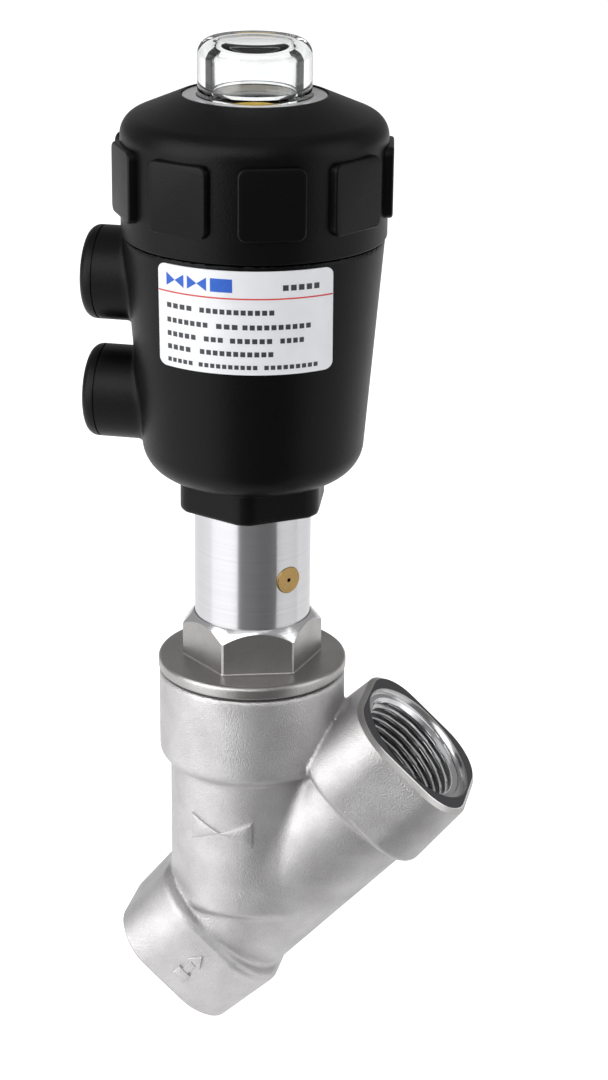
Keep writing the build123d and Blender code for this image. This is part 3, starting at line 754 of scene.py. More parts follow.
# ---------------------------------------------------------------- repeats made by rule
class RuleTree:
    """Geometry node trees for threads, springs and repeats round the stem."""

    def __init__(self, name: str, inputs: Mapping[str, tuple]) -> None:
        """Opens a tree with named inputs.

        Args:
            name: Name of the tree.
            inputs: Type and default of each input after the geometry.
        """
        sockets = {"Geometry": ("Geometry",), **inputs, "Material": ("Material",)}
        self.n = open_tree(name, "GeometryNodeTree", sockets, {"Geometry": "Geometry"})
        self.keys = {s.name: s.identifier for s in self.n.tree.interface.items_tree if s.in_out == "INPUT"}
        self.given = self.n.add("NodeGroupInput").outputs

    def close(self, geometry: Socket) -> None:
        """Ends the tree with real meshes in the given material."""
        real = self.n.add("GeometryNodeRealizeInstances", {0: geometry})
        inputs = {"Geometry": real.outputs[0], "Material": self.given["Material"]}
        paint = self.n.add("GeometryNodeSetMaterial", inputs)
        self.n.add("NodeGroupOutput", {0: paint.outputs[0]})

    def grow(self, piece: Piece, material: bpy.types.Material, values: Mapping[str, object]) -> None:
        """Runs the tree on a piece and keeps the plain mesh.

        Args:
            piece: Object that takes the tree.
            material: Its finish.
            values: Value of each named input.
        """
        step = piece.modifiers.new(self.n.tree.name, "NODES")
        step.node_group = self.n.tree
        for label, value in {**values, "Material": material}.items():
            step[self.keys[label]] = value
        settle(piece)


def ridge_height(n: Nodes, phase: Socket) -> Socket:
    """Depth of a thread at a phase of its turn, from 0 on the crest to 1 in the valley."""
    wave = n.sum("MULTIPLY", n.sum("ABSOLUTE", n.sum("SUBTRACT", phase, 0.5)), 2.0)
    return n.ramp(wave, 0.1, 0.8, 0.0, 1.0)


def thread_tree() -> RuleTree:
    """Tree for a threaded lining along +Z: helical ridges inside, a plain wall outside.

    Returns:
        The tree.
    """
    inputs = {
        "Crest Radius": ("Float", 0.012),
        "Root Radius": ("Float", 0.013),
        "Wall Radius": ("Float", 0.0135),
        "Pitch": ("Float", 0.0018),
        "Length": ("Float", 0.015),
        "Lead In": ("Float", 0.001),
        "Around": ("Int", 97),
        "Rows": ("Int", 120),
    }
    rule = RuleTree("thread_lining", inputs)
    n, given = rule.n, rule.given
    counts = {"Size X": 1.0, "Size Y": 1.0, "Vertices X": given["Around"], "Vertices Y": given["Rows"]}
    grid = n.add("GeometryNodeMeshGrid", counts)
    place = n.add("ShaderNodeSeparateXYZ", {0: n.add("GeometryNodeInputPosition").outputs[0]}).outputs
    turn = n.sum("ADD", place[0], 0.5)
    level = n.sum("MULTIPLY", n.sum("ADD", place[1], 0.5), n.sum("SUBTRACT", given["Rows"], 1.0))
    last = n.sum("SUBTRACT", given["Rows"], 4.0)
    share = n.sum("MINIMUM", n.sum("DIVIDE", level, last), 1.0)
    height = n.sum("MULTIPLY", share, given["Length"])
    coils = n.sum("SUBTRACT", n.sum("DIVIDE", height, given["Pitch"]), turn)
    phase = n.sum("FRACT", n.sum("ADD", coils, 2.0))
    mouth = n.sum("SUBTRACT", n.sum("ADD", given["Lead In"], height), given["Length"])
    mouth = n.ramp(n.sum("DIVIDE", mouth, given["Lead In"]), 0.0, 1.0, 0.0, 1.0)
    ridge = n.sum("MAXIMUM", ridge_height(n, phase), mouth)
    depth = n.sum("SUBTRACT", given["Root Radius"], given["Crest Radius"])
    inner = n.sum("ADD", given["Crest Radius"], n.sum("MULTIPLY", depth, ridge))
    after, back, closing = (n.sum("GREATER_THAN", level, n.sum("ADD", last, row)) for row in (0.5, 1.5, 2.5))
    outer = n.sum("SUBTRACT", after, closing)
    wide = n.sum("MULTIPLY", n.sum("SUBTRACT", given["Wall Radius"], inner), outer)
    first = ridge_height(n, n.sum("FRACT", n.sum("SUBTRACT", 2.0, turn)))
    first = n.sum("ADD", given["Crest Radius"], n.sum("MULTIPLY", depth, first))
    end = n.sum("MULTIPLY", n.sum("SUBTRACT", first, inner), closing)
    radius = n.sum("ADD", n.sum("ADD", inner, wide), end)
    angle = n.sum("MULTIPLY", turn, 2 * math.pi)
    spot = {
        0: n.sum("MULTIPLY", radius, n.sum("COSINE", angle)),
        1: n.sum("MULTIPLY", radius, n.sum("SINE", angle)),
        2: n.sum("MULTIPLY", height, n.sum("SUBTRACT", 1.0, back)),
    }
    inputs = {"Geometry": grid.outputs["Mesh"], "Position": n.add("ShaderNodeCombineXYZ", spot).outputs[0]}
    moved = n.add("GeometryNodeSetPosition", inputs)
    weld = n.add("GeometryNodeMergeByDistance", {"Geometry": moved.outputs[0], "Distance": 1e-6})
    rule.close(weld.outputs[0])
    return rule


def spring_tree() -> RuleTree:
    """Tree for a coil spring of round wire along +Z.

    Returns:
        The tree.
    """
    inputs = {
        "Coil Radius": ("Float", 0.0136),
        "Wire Radius": ("Float", 0.0013),
        "Length": ("Float", 0.05),
        "Turns": ("Float", 6.0),
    }
    rule = RuleTree("coil_spring", inputs)
    n, given = rule.n, rule.given
    coil = {
        "Resolution": 64,
        "Rotations": given["Turns"],
        "Start Radius": given["Coil Radius"],
        "End Radius": given["Coil Radius"],
        "Height": given["Length"],
    }
    path = n.add("GeometryNodeCurveSpiral", coil)
    wire = n.add("GeometryNodeCurvePrimitiveCircle", {"Resolution": 16, "Radius": given["Wire Radius"]})
    curves = {"Curve": path.outputs[0], "Profile Curve": wire.outputs[0], "Fill Caps": True}
    rule.close(n.add("GeometryNodeCurveToMesh", curves).outputs[0])
    return rule


def repeat_tree() -> RuleTree:
    """Tree that repeats a piece at even angles round the Z axis.

    Returns:
        The tree.
    """
    rule = RuleTree("repeat_round", {"Count": ("Int", 8), "First Angle": ("Float", 0.0)})
    n, given = rule.n, rule.given
    spots = n.add("GeometryNodePoints", {"Count": given["Count"]})
    index = n.add("GeometryNodeInputIndex").outputs[0]
    step = n.sum("DIVIDE", 2 * math.pi, given["Count"])
    angle = n.sum("ADD", n.sum("MULTIPLY", index, step), given["First Angle"])
    spin = n.add("ShaderNodeCombineXYZ", {2: angle})
    rotate = n.add("FunctionNodeEulerToRotation", {0: spin.outputs[0]})
    inputs = {"Points": spots.outputs[0], "Instance": given["Geometry"], "Rotation": rotate.outputs[0]}
    rule.close(n.add("GeometryNodeInstanceOnPoints", inputs).outputs[0])
    return rule


@dataclass(frozen=True)
class Thread:
    """Female thread of a port, in millimetres.

    Attributes:
        crest_r: Radius inside the ridges.
        root_r: Radius of the valleys.
        wall_r: Radius of the bore that the lining fills.
        pitch: Rise of one turn.
        length: Length of the thread.
        lead_in: Length over which its mouth opens.
        around: Points round it.
        rows: Rows of points along it.
    """

    crest_r: float
    root_r: float
    wall_r: float
    pitch: float
    length: float
    lead_in: float
    around: int
    rows: int

    def cut(self, name: str, rule: RuleTree, shop: Workshop, finishes: Sequence[str], place: Matrix) -> Piece:
        """Makes the lining.

        Args:
            name: Name of the piece.
            rule: Tree for threads.
            shop: Where the finishes are.
            finishes: Finish of the ridges and, where it differs, of the valleys, which is painted shade.
            place: Move from +Z at the origin to its place.

        Returns:
            The object.
        """
        piece = new_object(name)
        sizes = {
            "Crest Radius": self.crest_r * MM,
            "Root Radius": self.root_r * MM,
            "Wall Radius": self.wall_r * MM,
            "Pitch": self.pitch * MM,
            "Length": self.length * MM,
            "Lead In": self.lead_in * MM,
            "Around": self.around,
            "Rows": self.rows,
        }
        rule.grow(piece, shop.materials[finishes[0]], sizes)
        # Valley faces take the second finish, painted shade for the dark inside the thread.
        if finishes[1:]:
            crest = self.crest_r + 0.2 * (self.root_r - self.crest_r)
            shop.paint(piece, finishes[1])
            for ridge in piece.data.polygons:
                ridge.material_index = int(math.hypot(ridge.center.x, ridge.center.y) > crest * MM)
        piece.data.transform(place)
        outward(piece.data)
        return piece


# ---------------------------------------------------------------- cast body
@dataclass(frozen=True)
class CastBody:
    """Cast body with its two threaded hubs.

    Attributes hold its sizes in millimetres, counted along the flow axis or up the stem axis.
    """

    shop: Workshop
    threads: RuleTree
    inlet_face: float = -24.3
    outlet_face: float = 55
    hub_depth: float = 32.6
    hub_breadth: float = 33.6
    hub_corner: float = 10.7
    hub_length: float = 16.8
    hub_edge: float = 0.3
    hub_chamfer: float = 0.85
    hub_back: float = 1.8
    hub_slope: float = math.tan(math.radians(4))
    pipe_half_depth: float = 16.8
    pipe_shift: float = -0.4
    pipe_half_breadth: float = 16.3
    barrel_r: float = 17.9
    barrel_low: float = -1
    head_r: float = 20.3
    head_low: float = 32.0
    head_edge: float = 0.8
    top: float = 52.2
    bonnet_bore: tuple[float, float] = (17.22, 37.9)
    recess_r: float = 14.5
    recess: float = 1.2
    thread: Thread = Thread(12.06, 13.22, 13.35, 1.814, 14.8, 1.3, 129, 14 * 8 + 5)
    bore_r: float = 13.3
    way_r: float = 11
    chamber_r: float = 14
    seat_bore: float = 10
    seat_top: float = 6
    sign_turn: float = -99.7
    sign_height: float = 19.6
    sign_size: tuple[float, float] = (7.2, 3.1)
    mould: Mould = Mould((-33.5, -21.6, -35.5), (53.5, 21.8, 53.6))

    def hubs(self) -> tuple[tuple[str, float, bool], ...]:
        """Name, distance of the face from the crossing and direction of each hub."""
        return ("outlet", self.outlet_face, False), ("inlet", -self.inlet_face, True)

    def hub(self, outline: np.ndarray, inward: np.ndarray) -> np.ndarray:
        """Signed distance to a hub.

        Args:
            outline: Signed distance to its outline at the face.
            inward: Distance from its face towards the crossing.

        Returns:
            Distances.
        """
        form = meet(outline - self.hub_slope * inward, -inward, self.hub_edge)
        return meet(form, inward - self.hub_length - self.hub_back / 2, self.hub_back)

    def outside(self, p: np.ndarray) -> np.ndarray:
        """Signed distance to the outer form.

        Args:
            p: Points (count, 3).

        Returns:
            Distances.
        """
        x, y, z = p.T
        flow, across = flow_place(p)
        upright = np.hypot(x, y)
        barrel = meet(meet(upright - self.barrel_r, self.barrel_low - z, 1.2), z - self.top + 4, 0.1)
        head = meet(meet(upright - self.head_r, self.head_low - z, 2.2), z - self.top, self.head_edge)
        column = blend(barrel, head, 1.7)
        deep, wide = self.pipe_half_depth, self.pipe_half_breadth
        level = across - self.pipe_shift
        share = np.hypot(level / deep, y / wide)
        pipe = share * (share - 1) / np.maximum(np.hypot(level / deep**2, y / wide**2), 1e-6)
        pipe = meet(pipe, np.maximum(flow - self.outlet_face + 6, self.inlet_face + 6 - flow), 0.1)
        form = blend(column, pipe, 1.6)
        side = self.hub_corner
        deep = np.abs(across) - self.hub_depth / 2 + side
        wide = np.abs(y) - self.hub_breadth / 2 + side
        corner = np.hypot(np.maximum(deep, 0), np.maximum(wide, 0))
        outline = corner + np.minimum(np.maximum(deep, wide), 0) - side
        for inward in (self.outlet_face - flow, flow - self.inlet_face):
            form = blend(form, self.hub(outline, inward), 1.0)
        return np.maximum(form, z - self.top)

    def hollow(self, p: np.ndarray) -> np.ndarray:
        """Signed distance to the flow passages, which leave the seat's partition between them.

        Args:
            p: Points (count, 3).

        Returns:
            Distances.
        """
        x, y, z = p.T
        flow, across = flow_place(p)
        pipe = np.hypot(across, y) - self.way_r
        upright = np.hypot(x, y)
        chamber = meet(upright - self.chamber_r, self.seat_top - z, 0.6)
        outlet = np.maximum(np.maximum(pipe, np.maximum(8 - flow, self.seat_top - z)), -flow)
        inlet = np.maximum(pipe, flow - 5)
        riser = np.maximum(np.maximum(upright - self.seat_bore, CROSSING[2] - z), z - self.seat_top - 2)
        return np.minimum(blend(chamber, outlet, 0.5), blend(inlet, riser, 0.5))

    def field(self, p: np.ndarray) -> np.ndarray:
        """Signed distance to the casting before machining."""
        return np.maximum(self.outside(p), -self.hollow(p))

    def cutters(self) -> list[Piece]:
        """Machined recesses, bores, chamfers and the bonnet's seat, as solid tools.

        Returns:
            The tools.
        """
        tools = []
        for name, face, back in self.hubs():
            floor, flare = face - self.recess, self.recess_r + 0.3
            depth = floor - self.thread.length - 0.4
            outline = [(0, depth), (self.bore_r, depth), (self.bore_r, floor), (self.recess_r - 0.25, floor)]
            outline += [(self.recess_r, face - 0.3), (flare, face + 0.02), (flare, face + 3), (0, face + 3)]
            for part, drawn in (("tool", lathe(outline, 160)), ("rim", self.rim(face))):
                tools.append(new_object(f"{name}_{part}", along_flow(drawn, back)))
        radius, low = self.bonnet_bore
        outline = [(0, low), (radius, low), (radius, self.top - 0.4), (17.7, self.top + 2), (0, self.top + 2)]
        tools.append(new_object("head_tool", lathe(outline, 160)))
        for tool in tools:
            self.shop.paint(tool, "bright_recess")
        return tools

    def rim(self, face: float) -> Drawn:
        """Frame round a hub's face that cuts its chamfer, with a narrow facet beside the face.

        Args:
            face: Height of the face.

        Returns:
            Vertices and faces.
        """
        cut = self.hub_chamfer
        low, start = -cut - 0.1, -cut - 0.25
        rings = []
        for out, high in ((start, 0.05), (-cut, -0.1), (0.1, low), (3, low), (3, 1), (start, 1)):
            half = self.hub_depth / 2 + out, self.hub_breadth / 2 + out
            flat = np.array(rounded(box_corners(*half, self.hub_corner + out), 16))
            rings.append(np.column_stack([flat, np.full(len(flat), face + high)]))
        return stack_rings(rings, capped=False)

    def build(self) -> None:
        """Makes the casting, its two thread linings and its raised marks."""
        body = new_object("cast_body", self.mould.pour(self.field))
        self.shop.paint(body, "blasted_casting")
        carve(body, self.cutters())
        port_shade = self.shop.paint(body, "painted_dark_port_face", "blasted_bonnet_and_chamfer_shade")
        for face in body.data.polygons:
            reach = float(np.array(face.center) @ FLOW) / MM - THREAD_START
            facing = abs(float(np.array(face.normal) @ FLOW))
            depth = min(self.outlet_face - reach, reach - self.inlet_face)
            # Flat port faces get near-black metal, a painted dark reflection.
            if facing > 0.995 and abs(depth) < 0.05:
                face.material_index = port_shade
            # Chamfers round the port faces get the darker bonnet finish, painted shade for the dark band there.
            elif -0.05 < depth < 1.1 and 0.6 < facing < 0.8:
                face.material_index = port_shade + 1
        self.shop.hand_over(body, Body.VALVE, Slot.CAST, "blasted_casting", "valve_body", 30)
        for name, face, back in self.hubs():
            spin = Matrix.Rotation(LEAN + (math.pi if back else 0), 4, "Y")
            start = face - self.recess - self.thread.length
            place = stand(CROSSING) @ spin @ Matrix.Translation((0, 0, start * MM))
            # Crests take the machined finish; valleys take painted shade.
            finishes = ("bright_recess", "thread_valley_painted_shade")
            lining = self.thread.cut(name + "_thread", self.threads, self.shop, finishes, place)
            self.shop.hand_over(lining, Body.VALVE, Slot.CAST, "bright_recess", sharp=50)
        self.marks()

    def marks(self) -> None:
        """Makes the raised valve sign on the barrel and the flow arrow on the inlet hub."""

        def on_barrel(flat: np.ndarray, lift: float) -> np.ndarray:
            """Lays flat points on the barrel at a height above it."""
            angle = np.radians(self.sign_turn) + flat[:, 0] / self.barrel_r
            return round_stem(self.barrel_r + lift, angle, self.sign_height + flat[:, 1])

        def on_hub(flat: np.ndarray, lift: float) -> np.ndarray:
            """Lays flat points on the inlet hub's broad side at a height above it."""
            out = self.hub_breadth / 2 + lift + self.hub_slope * (flat[:, 0] - self.inlet_face)
            return CROSSING + flat[:, :1] * FLOW + flat[:, 1:2] * ACROSS - out[:, None] * SIDEWAYS

        wide, tall = self.sign_size
        sign = [[(side * wide, -tall), (side * wide, tall), (0.0, 0.0)] for side in (-1, 1)]
        self.emboss("valve_sign", sign, on_barrel)
        arrow = [
            [(-19.6, -0.9), (-17.1, -0.9), (-17.1, 2.6), (-20.0, 2.6)],
            [(-17.1, 0.05), (-14.1, 0.05), (-14.1, 1.65), (-17.1, 1.65)],
            [(-14.1, -1.1), (-11.2, 0.85), (-14.1, 2.8)],
        ]
        self.emboss("flow_arrow", arrow, on_hub)

    def emboss(self, name: str, outlines: Sequence[Flat], place: Lay) -> None:
        """Raises bevelled marks from flat convex outlines.

        Args:
            name: Name of the piece.
            outlines: Corners of each mark.
            place: Lays flat points on the casting at a height above it.
        """
        marks = []
        for outline in outlines:
            middle = np.mean(np.array(outline), 0)
            levels = []
            for share, lift in ((1.0, -0.5), (1.0, 0.3), (0.95, 0.48), (0.86, 0.55)):
                corners = middle + (np.array(outline) - middle) * share
                ahead = np.roll(corners, -1, 0)
                steps = np.linspace(0, 1, 12, endpoint=False)[None, :, None]
                dense = corners[:, None] * (1 - steps) + ahead[:, None] * steps
                levels.append(place(dense.reshape(-1, 2), lift))
            levels.append(place(np.repeat(middle[None], len(levels[0]), 0), 0.55))
            verts, skin = stack_rings(levels)
            marks.append((verts, skin[:-1]))
        piece = new_object(name, gather(marks), 1e-6)
        self.shop.hand_over(piece, Body.VALVE, Slot.CAST, "blasted_casting", sharp=35)


# ---------------------------------------------------------------- bonnet
@dataclass(frozen=True)
class Bonnet:
    """Union disc with its shank, the hexagon and the seam round the hexagon's foot.

    Attributes hold its sizes in millimetres and the hexagon's turn in degrees.
    """

    shop: Workshop
    low: float = 39.8
    shank_r: float = 17.1
    shank_bore: float = 7.1
    disc_base: float = 52.8
    disc_r: float = 20.5
    disc_top: float = 55.6
    hex_top: float = 65.6
    flats: float = 26.5
    turn: float = 18
    face_r: float = 12.7
    bore_r: float = 10
    cone_fall: float = 1.1

    def reach(self, angles: np.ndarray) -> np.ndarray:
        """Radius of the hexagon at angles, with its corners slightly turned off."""
        sixth, side = math.pi / 3, self.flats / 2
        local = (angles - math.radians(self.turn) + sixth / 2) % sixth - sixth / 2
        return np.minimum(side / np.cos(sixth / 2 - np.abs(local)), side / math.cos(sixth / 2) - 0.12)

    def hexagon(self, angles: np.ndarray) -> Drawn:
        """Hexagon whose corners are turned off by a cone, on a foot that sinks into the disc.

        Args:
            angles: Angles round the stem.

        Returns:
            Vertices and faces.
        """
        reach, foot = self.reach(angles), self.disc_base + 1
        edge = self.hex_top - (reach - self.face_r) * self.cone_fall
        rings = (
            (self.bore_r, foot),
            (reach, foot),
            (reach, self.disc_top),
            (reach, edge - 0.12),
            (reach - 0.08, edge + 0.05),
            (self.face_r + 0.25, self.hex_top - 0.22),
            (self.face_r, self.hex_top),
            (self.bore_r, self.hex_top),
        )
        return stack_rings([round_stem(radius, angles, height) for radius, height in rings], capped=False)

    def bead(self, angles: np.ndarray) -> Drawn:
        """Thin raised seam round the hexagon's foot.

        Args:
            angles: Angles round the stem.

        Returns:
            Vertices and faces.
        """
        section = ((-0.3, -0.2), (0.32, -0.2), (0.3, 0.06), (0.14, 0.14), (0.04, 0.34), (-0.3, 0.34))
        reach = self.reach(angles)
        rings = [round_stem(reach + out, angles, self.disc_top + up) for out, up in section]
        return stack_rings(rings, capped=False)

    def build(self) -> None:
        """Makes the disc with its shank, the hexagon and its bead."""
        outline = [(self.shank_bore, self.low), (self.shank_r, self.low, 0.5), (self.shank_r, self.disc_base)]
        outline += [(self.disc_r, self.disc_base, 0.5), (self.disc_r, self.disc_top, 1.0)]
        outline += [(self.shank_bore, self.disc_top)]
        angles = np.radians(np.arange(360))
        disc = new_object("bonnet_disc", lathe(rounded(outline), 192))
        self.shop.hand_over(disc, Body.VALVE, Slot.CAST, "blasted_bonnet_and_chamfer_shade", "bonnet", 35)
        hexed = new_object("bonnet_hexagon", self.hexagon(angles))
        self.shop.paint(hexed, "blasted_bonnet_and_chamfer_shade", "bright_turning")
        for face in hexed.data.polygons:
            out = math.hypot(face.center.x - ORIGIN[0] * MM, face.center.y)
            face.material_index = int(0.3 < face.normal.z and out > self.face_r * MM * 0.9)
        self.shop.hand_over(hexed, Body.VALVE, Slot.CAST, "blasted_bonnet_and_chamfer_shade", sharp=20)
        bead = new_object("bonnet_seam", self.bead(angles))
        self.shop.hand_over(bead, Body.VALVE, Slot.CAST, "blasted_bonnet_and_chamfer_shade", sharp=40)


# ---------------------------------------------------------------- actuator
@dataclass(frozen=True)
class Housing:
    """Moulded housing with its hexagonal base and two port bosses.

    Attributes hold its sizes in millimetres and the base's turn in degrees. A bore is the (radius, height) of a
    step.
    """

    shop: Workshop
    threads: RuleTree
    base_low: float = 90.4
    base_flats: float = 29.6
    base_corner_r: float = 16.3
    base_turn: float = 36
    floor_top: float = 104.0
    bowl_low: float = 97.5
    bowl_round: float = 6.9
    wall_low_r: float = 22.9
    wall_high_r: float = 27.1
    top: float = 149.0
    neck_r: float = 25
    neck_top: float = 157.0
    mount_bore: tuple[float, float] = (12.56, 98)
    tube_bore_r: float = 10.56
    cylinder_bore: tuple[float, float] = (20, 138)
    neck_bore: tuple[float, float] = (22.4, 140.4)
    boss_r: float = 9.9
    boss_reach: float = 35.3
    boss_round: float = 2.2
    boss_heights: tuple[float, float] = (113.1, 139.0)
    air_way_r: float = 2
    pocket_r: float = 7.22
    pocket_floor: float = 25
    line: tuple[float, float] = (32.2, 32.55)
    thread: Thread = Thread(5.72, 6.58, 7.2, 1.337, 10, 0.8, 97, 14 * 7 + 5)
    mould: Mould = Mould((-36.6, -28.6, 89.2), (28.6, 28.6, 158.2))

    def field(self, p: np.ndarray) -> np.ndarray:
        """Signed distance to the outer form.

        Args:
            p: Points (count, 3).

        Returns:
            Distances.
        """
        x, y, z = p.T
        out = np.hypot(x, y)
        rise = (self.wall_high_r - self.wall_low_r) / (self.top - self.bowl_low)
        wall = (out - self.wall_low_r - (z - self.bowl_low) * rise) * math.cos(math.atan(rise))
        form = meet(wall, self.bowl_low - z, self.bowl_round)
        form = meet(form, z - self.top, 0.5)
        sides = np.radians(self.base_turn + 30 + 60 * np.arange(3))
        hexed = np.max([np.abs(x * math.cos(a) + y * math.sin(a)) for a in sides], 0) - self.base_flats / 2
        hexed = meet(hexed, out - self.base_corner_r, 0.5)
        hexed = meet(hexed, self.base_low - z, 1.0)
        form = blend(form, np.maximum(hexed, z - self.floor_top), 0.8)
        for height in self.boss_heights:
            bar = np.hypot(y, z - height) - self.boss_r
            bar = meet(bar, -x - self.boss_reach, self.boss_round)
            form = blend(form, np.maximum(bar, x), 1.0)
        form = np.maximum(form, z - self.top)
        neck = np.maximum(np.maximum(out - self.neck_r, z - self.neck_top), self.top - 4 - z)
        return np.minimum(form, neck)

    def tools(self) -> list[Piece]:
        """Cylinder bore, tube bore, air ways and the fine line on each boss.

        Returns:
            The tools.
        """
        mount_r, mount_top = self.mount_bore
        wide, ledge = self.cylinder_bore
        neck, shelf = self.neck_bore
        below, above = self.base_low - 1, self.neck_top + 1
        bore = [(0, below), (mount_r, below), (mount_r, mount_top), (self.tube_bore_r, mount_top)]
        bore += [(self.tube_bore_r, self.floor_top), (wide, self.floor_top), (wide, ledge), (neck, shelf)]
        bore += [(neck, above), (0, above)]
        tools = [new_object("bore_tool", lathe(bore, 160))]
        air, radius, floor = self.air_way_r, self.pocket_r, self.pocket_floor
        pocket = [(0, 19), (air, 19), (air, floor), (radius, floor)]
        pocket += [(radius, 35.0), (7.9, 36), (7.9, 37), (0, 37)]
        (near, far), bottom = self.line, self.boss_r - 0.3
        groove = [(bottom, near), (11, near), (11, far), (bottom, far)]
        for k, height in enumerate(self.boss_heights):
            for name, outline in (("pocket", pocket), ("line", groove)):
                verts, faces = lathe(outline, 96)
                placed = np.stack([-verts[:, 2], verts[:, 1], verts[:, 0] + height], -1)
                tools.append(new_object(f"{name}_tool_{k}", (placed, faces)))
        return tools

    def build(self) -> None:
        """Makes the housing and the threads of its ports."""
        shell = new_object("moulded_housing", self.mould.pour(self.field))
        self.shop.paint(shell, "black_moulding")
        carve(shell, self.tools())
        self.shop.hand_over(shell, Body.ACTUATOR, Slot.BLACK, "black_moulding", "actuator_housing", 32)
        spin = Matrix.Rotation(-math.pi / 2, 4, "Y")
        for name, height in zip(("lower", "upper"), self.boss_heights):
            place = stand((0, 0, height)) @ spin @ Matrix.Translation((0, 0, self.pocket_floor * MM))
            piece = self.thread.cut(name + "_port_thread", self.threads, self.shop, ["brass"], place)
            self.shop.hand_over(piece, Body.ACTUATOR, Slot.BRASS, "brass", "port_inserts", 50)


@dataclass(frozen=True)
class Cover:
    """Screwed cover with nine raised pads and the clear dome.

    Attributes hold its sizes in millimetres and its angles in degrees. Bores are (radius, floor) of a step.
    """

    shop: Workshop
    repeats: RuleTree
    low: float = 149.25
    radius: float = 27.5
    thread_bore: tuple[float, float] = (25.06, 157.25)
    wall: float = 4
    crown_r: float = 15.4
    crown_top: float = 178.25
    slope: float = 22.8
    edge: float = 4.8
    dome_bore: tuple[float, float] = (15.0, 175.9)
    gasket_bore: tuple[float, float] = (9.4, 173.25)
    rod_bore_r: float = 2.9
    ceiling_r: float = 18
    ceiling: float = 169.65
    pad_flat: float = 28.5
    pad_width: float = 13.8
    pad_height: float = 14.7
    pad_rise: float = 4.95
    pad_corner: float = 1.8
    pad_bevel: float = 0.7
    pad_turn: float = 9.9
    pad_count: int = 9
    dome_low: float = 176.7
    dome_foot: float = 178.0
    dome_r: float = 11.7
    dome_top: float = 189.4
    dome_room: tuple[float, float] = (8.6, 186.9)
    flange_r: float = 14.95

    def pad(self) -> Drawn:
        """One pad that faces +X, from its bevelled face back into the cover's wall.

        Returns:
            Vertices and faces.
        """
        middle = self.low + self.pad_rise + self.pad_height / 2
        bevel = self.pad_bevel
        steps = ((3.2, 0), (bevel, 0), (bevel * 0.45, bevel * 0.12), (bevel * 0.12, bevel * 0.45), (0, bevel))
        rings = []
        for back, inset in steps:
            corner = max(self.pad_corner - inset, 0.4)
            half = self.pad_width / 2 - inset, self.pad_height / 2 - inset
            flat = np.array(rounded(box_corners(*half, corner)))
            face = np.full(len(flat), self.pad_flat - back)
            rings.append(np.column_stack([face, flat[:, 0], flat[:, 1] + middle]))
        return stack_rings(rings)

    def build(self) -> None:
        """Makes the cover with its pads joined on."""
        fall = math.tan(math.radians(self.slope))
        inner = self.radius - self.wall
        shoulder = self.crown_top - (self.radius - self.crown_r) * fall
        thread_r, step = self.thread_bore
        dome_r, seat = self.dome_bore
        gasket_r, floor = self.gasket_bore
        outline = [(thread_r, self.low), (self.radius, self.low, 0.5), (self.radius, shoulder, self.edge)]
        outline += [(self.crown_r, self.crown_top, 0.4), (dome_r, self.crown_top), (dome_r, seat)]
        outline += [(gasket_r, seat), (gasket_r, floor), (self.rod_bore_r, floor)]
        outline += [(self.rod_bore_r, self.ceiling), (self.ceiling_r, self.ceiling)]
        outline += [(inner, self.ceiling - (inner - self.ceiling_r) * fall)]
        outline += [(inner, step), (thread_r, step)]
        cover = new_object("screwed_cover", lathe(rounded(outline, 10), 256))
        self.shop.paint(cover, "black_moulding")
        pads = new_object("cover_pads", self.pad())
        home = stand((0, 0, 0))
        pads.data.transform(home.inverted())
        turns = {"Count": self.pad_count, "First Angle": math.radians(self.pad_turn)}
        self.repeats.grow(pads, self.shop.materials["black_moulding"], turns)
        pads.data.transform(home)
        carve(cover, [pads], "UNION")
        self.shop.hand_over(cover, Body.ACTUATOR, Slot.BLACK, "black_moulding", "actuator_cover", 30)
        self.dome()

    def dome(self) -> None:
        """Makes the clear dome and its flange, whose pale grey is a painted reflection."""
        low, foot, radius, gasket_r = self.dome_low, self.dome_foot, self.dome_r, 9.2
        room_r, roof = self.dome_room
        outline = [(gasket_r, low), (12.0, low), (12.0, foot), (radius, foot + 0.25)]
        outline += [(radius, self.dome_top, 3.2), (0, self.dome_top), (0, roof), (room_r, roof, 1.6)]
        outline += [(room_r, 179.2), (gasket_r, 178.6)]
        dome = new_object("clear_dome", lathe(rounded(outline, 10)))
        self.shop.hand_over(dome, Body.ACTUATOR, Slot.CLEAR, "clear_dome", "indicator_dome", 40)
        # The flange is opaque pale grey: painted reflection of the bright surroundings in the clear flange.
        outline = [(12.02, low), (self.flange_r, low, 0.15), (self.flange_r, foot, 0.35), (12.02, foot)]
        flange = new_object("dome_flange", lathe(rounded(outline)))
        self.shop.hand_over(flange, Body.ACTUATOR, Slot.CLEAR, "flange_painted_reflection", sharp=40)


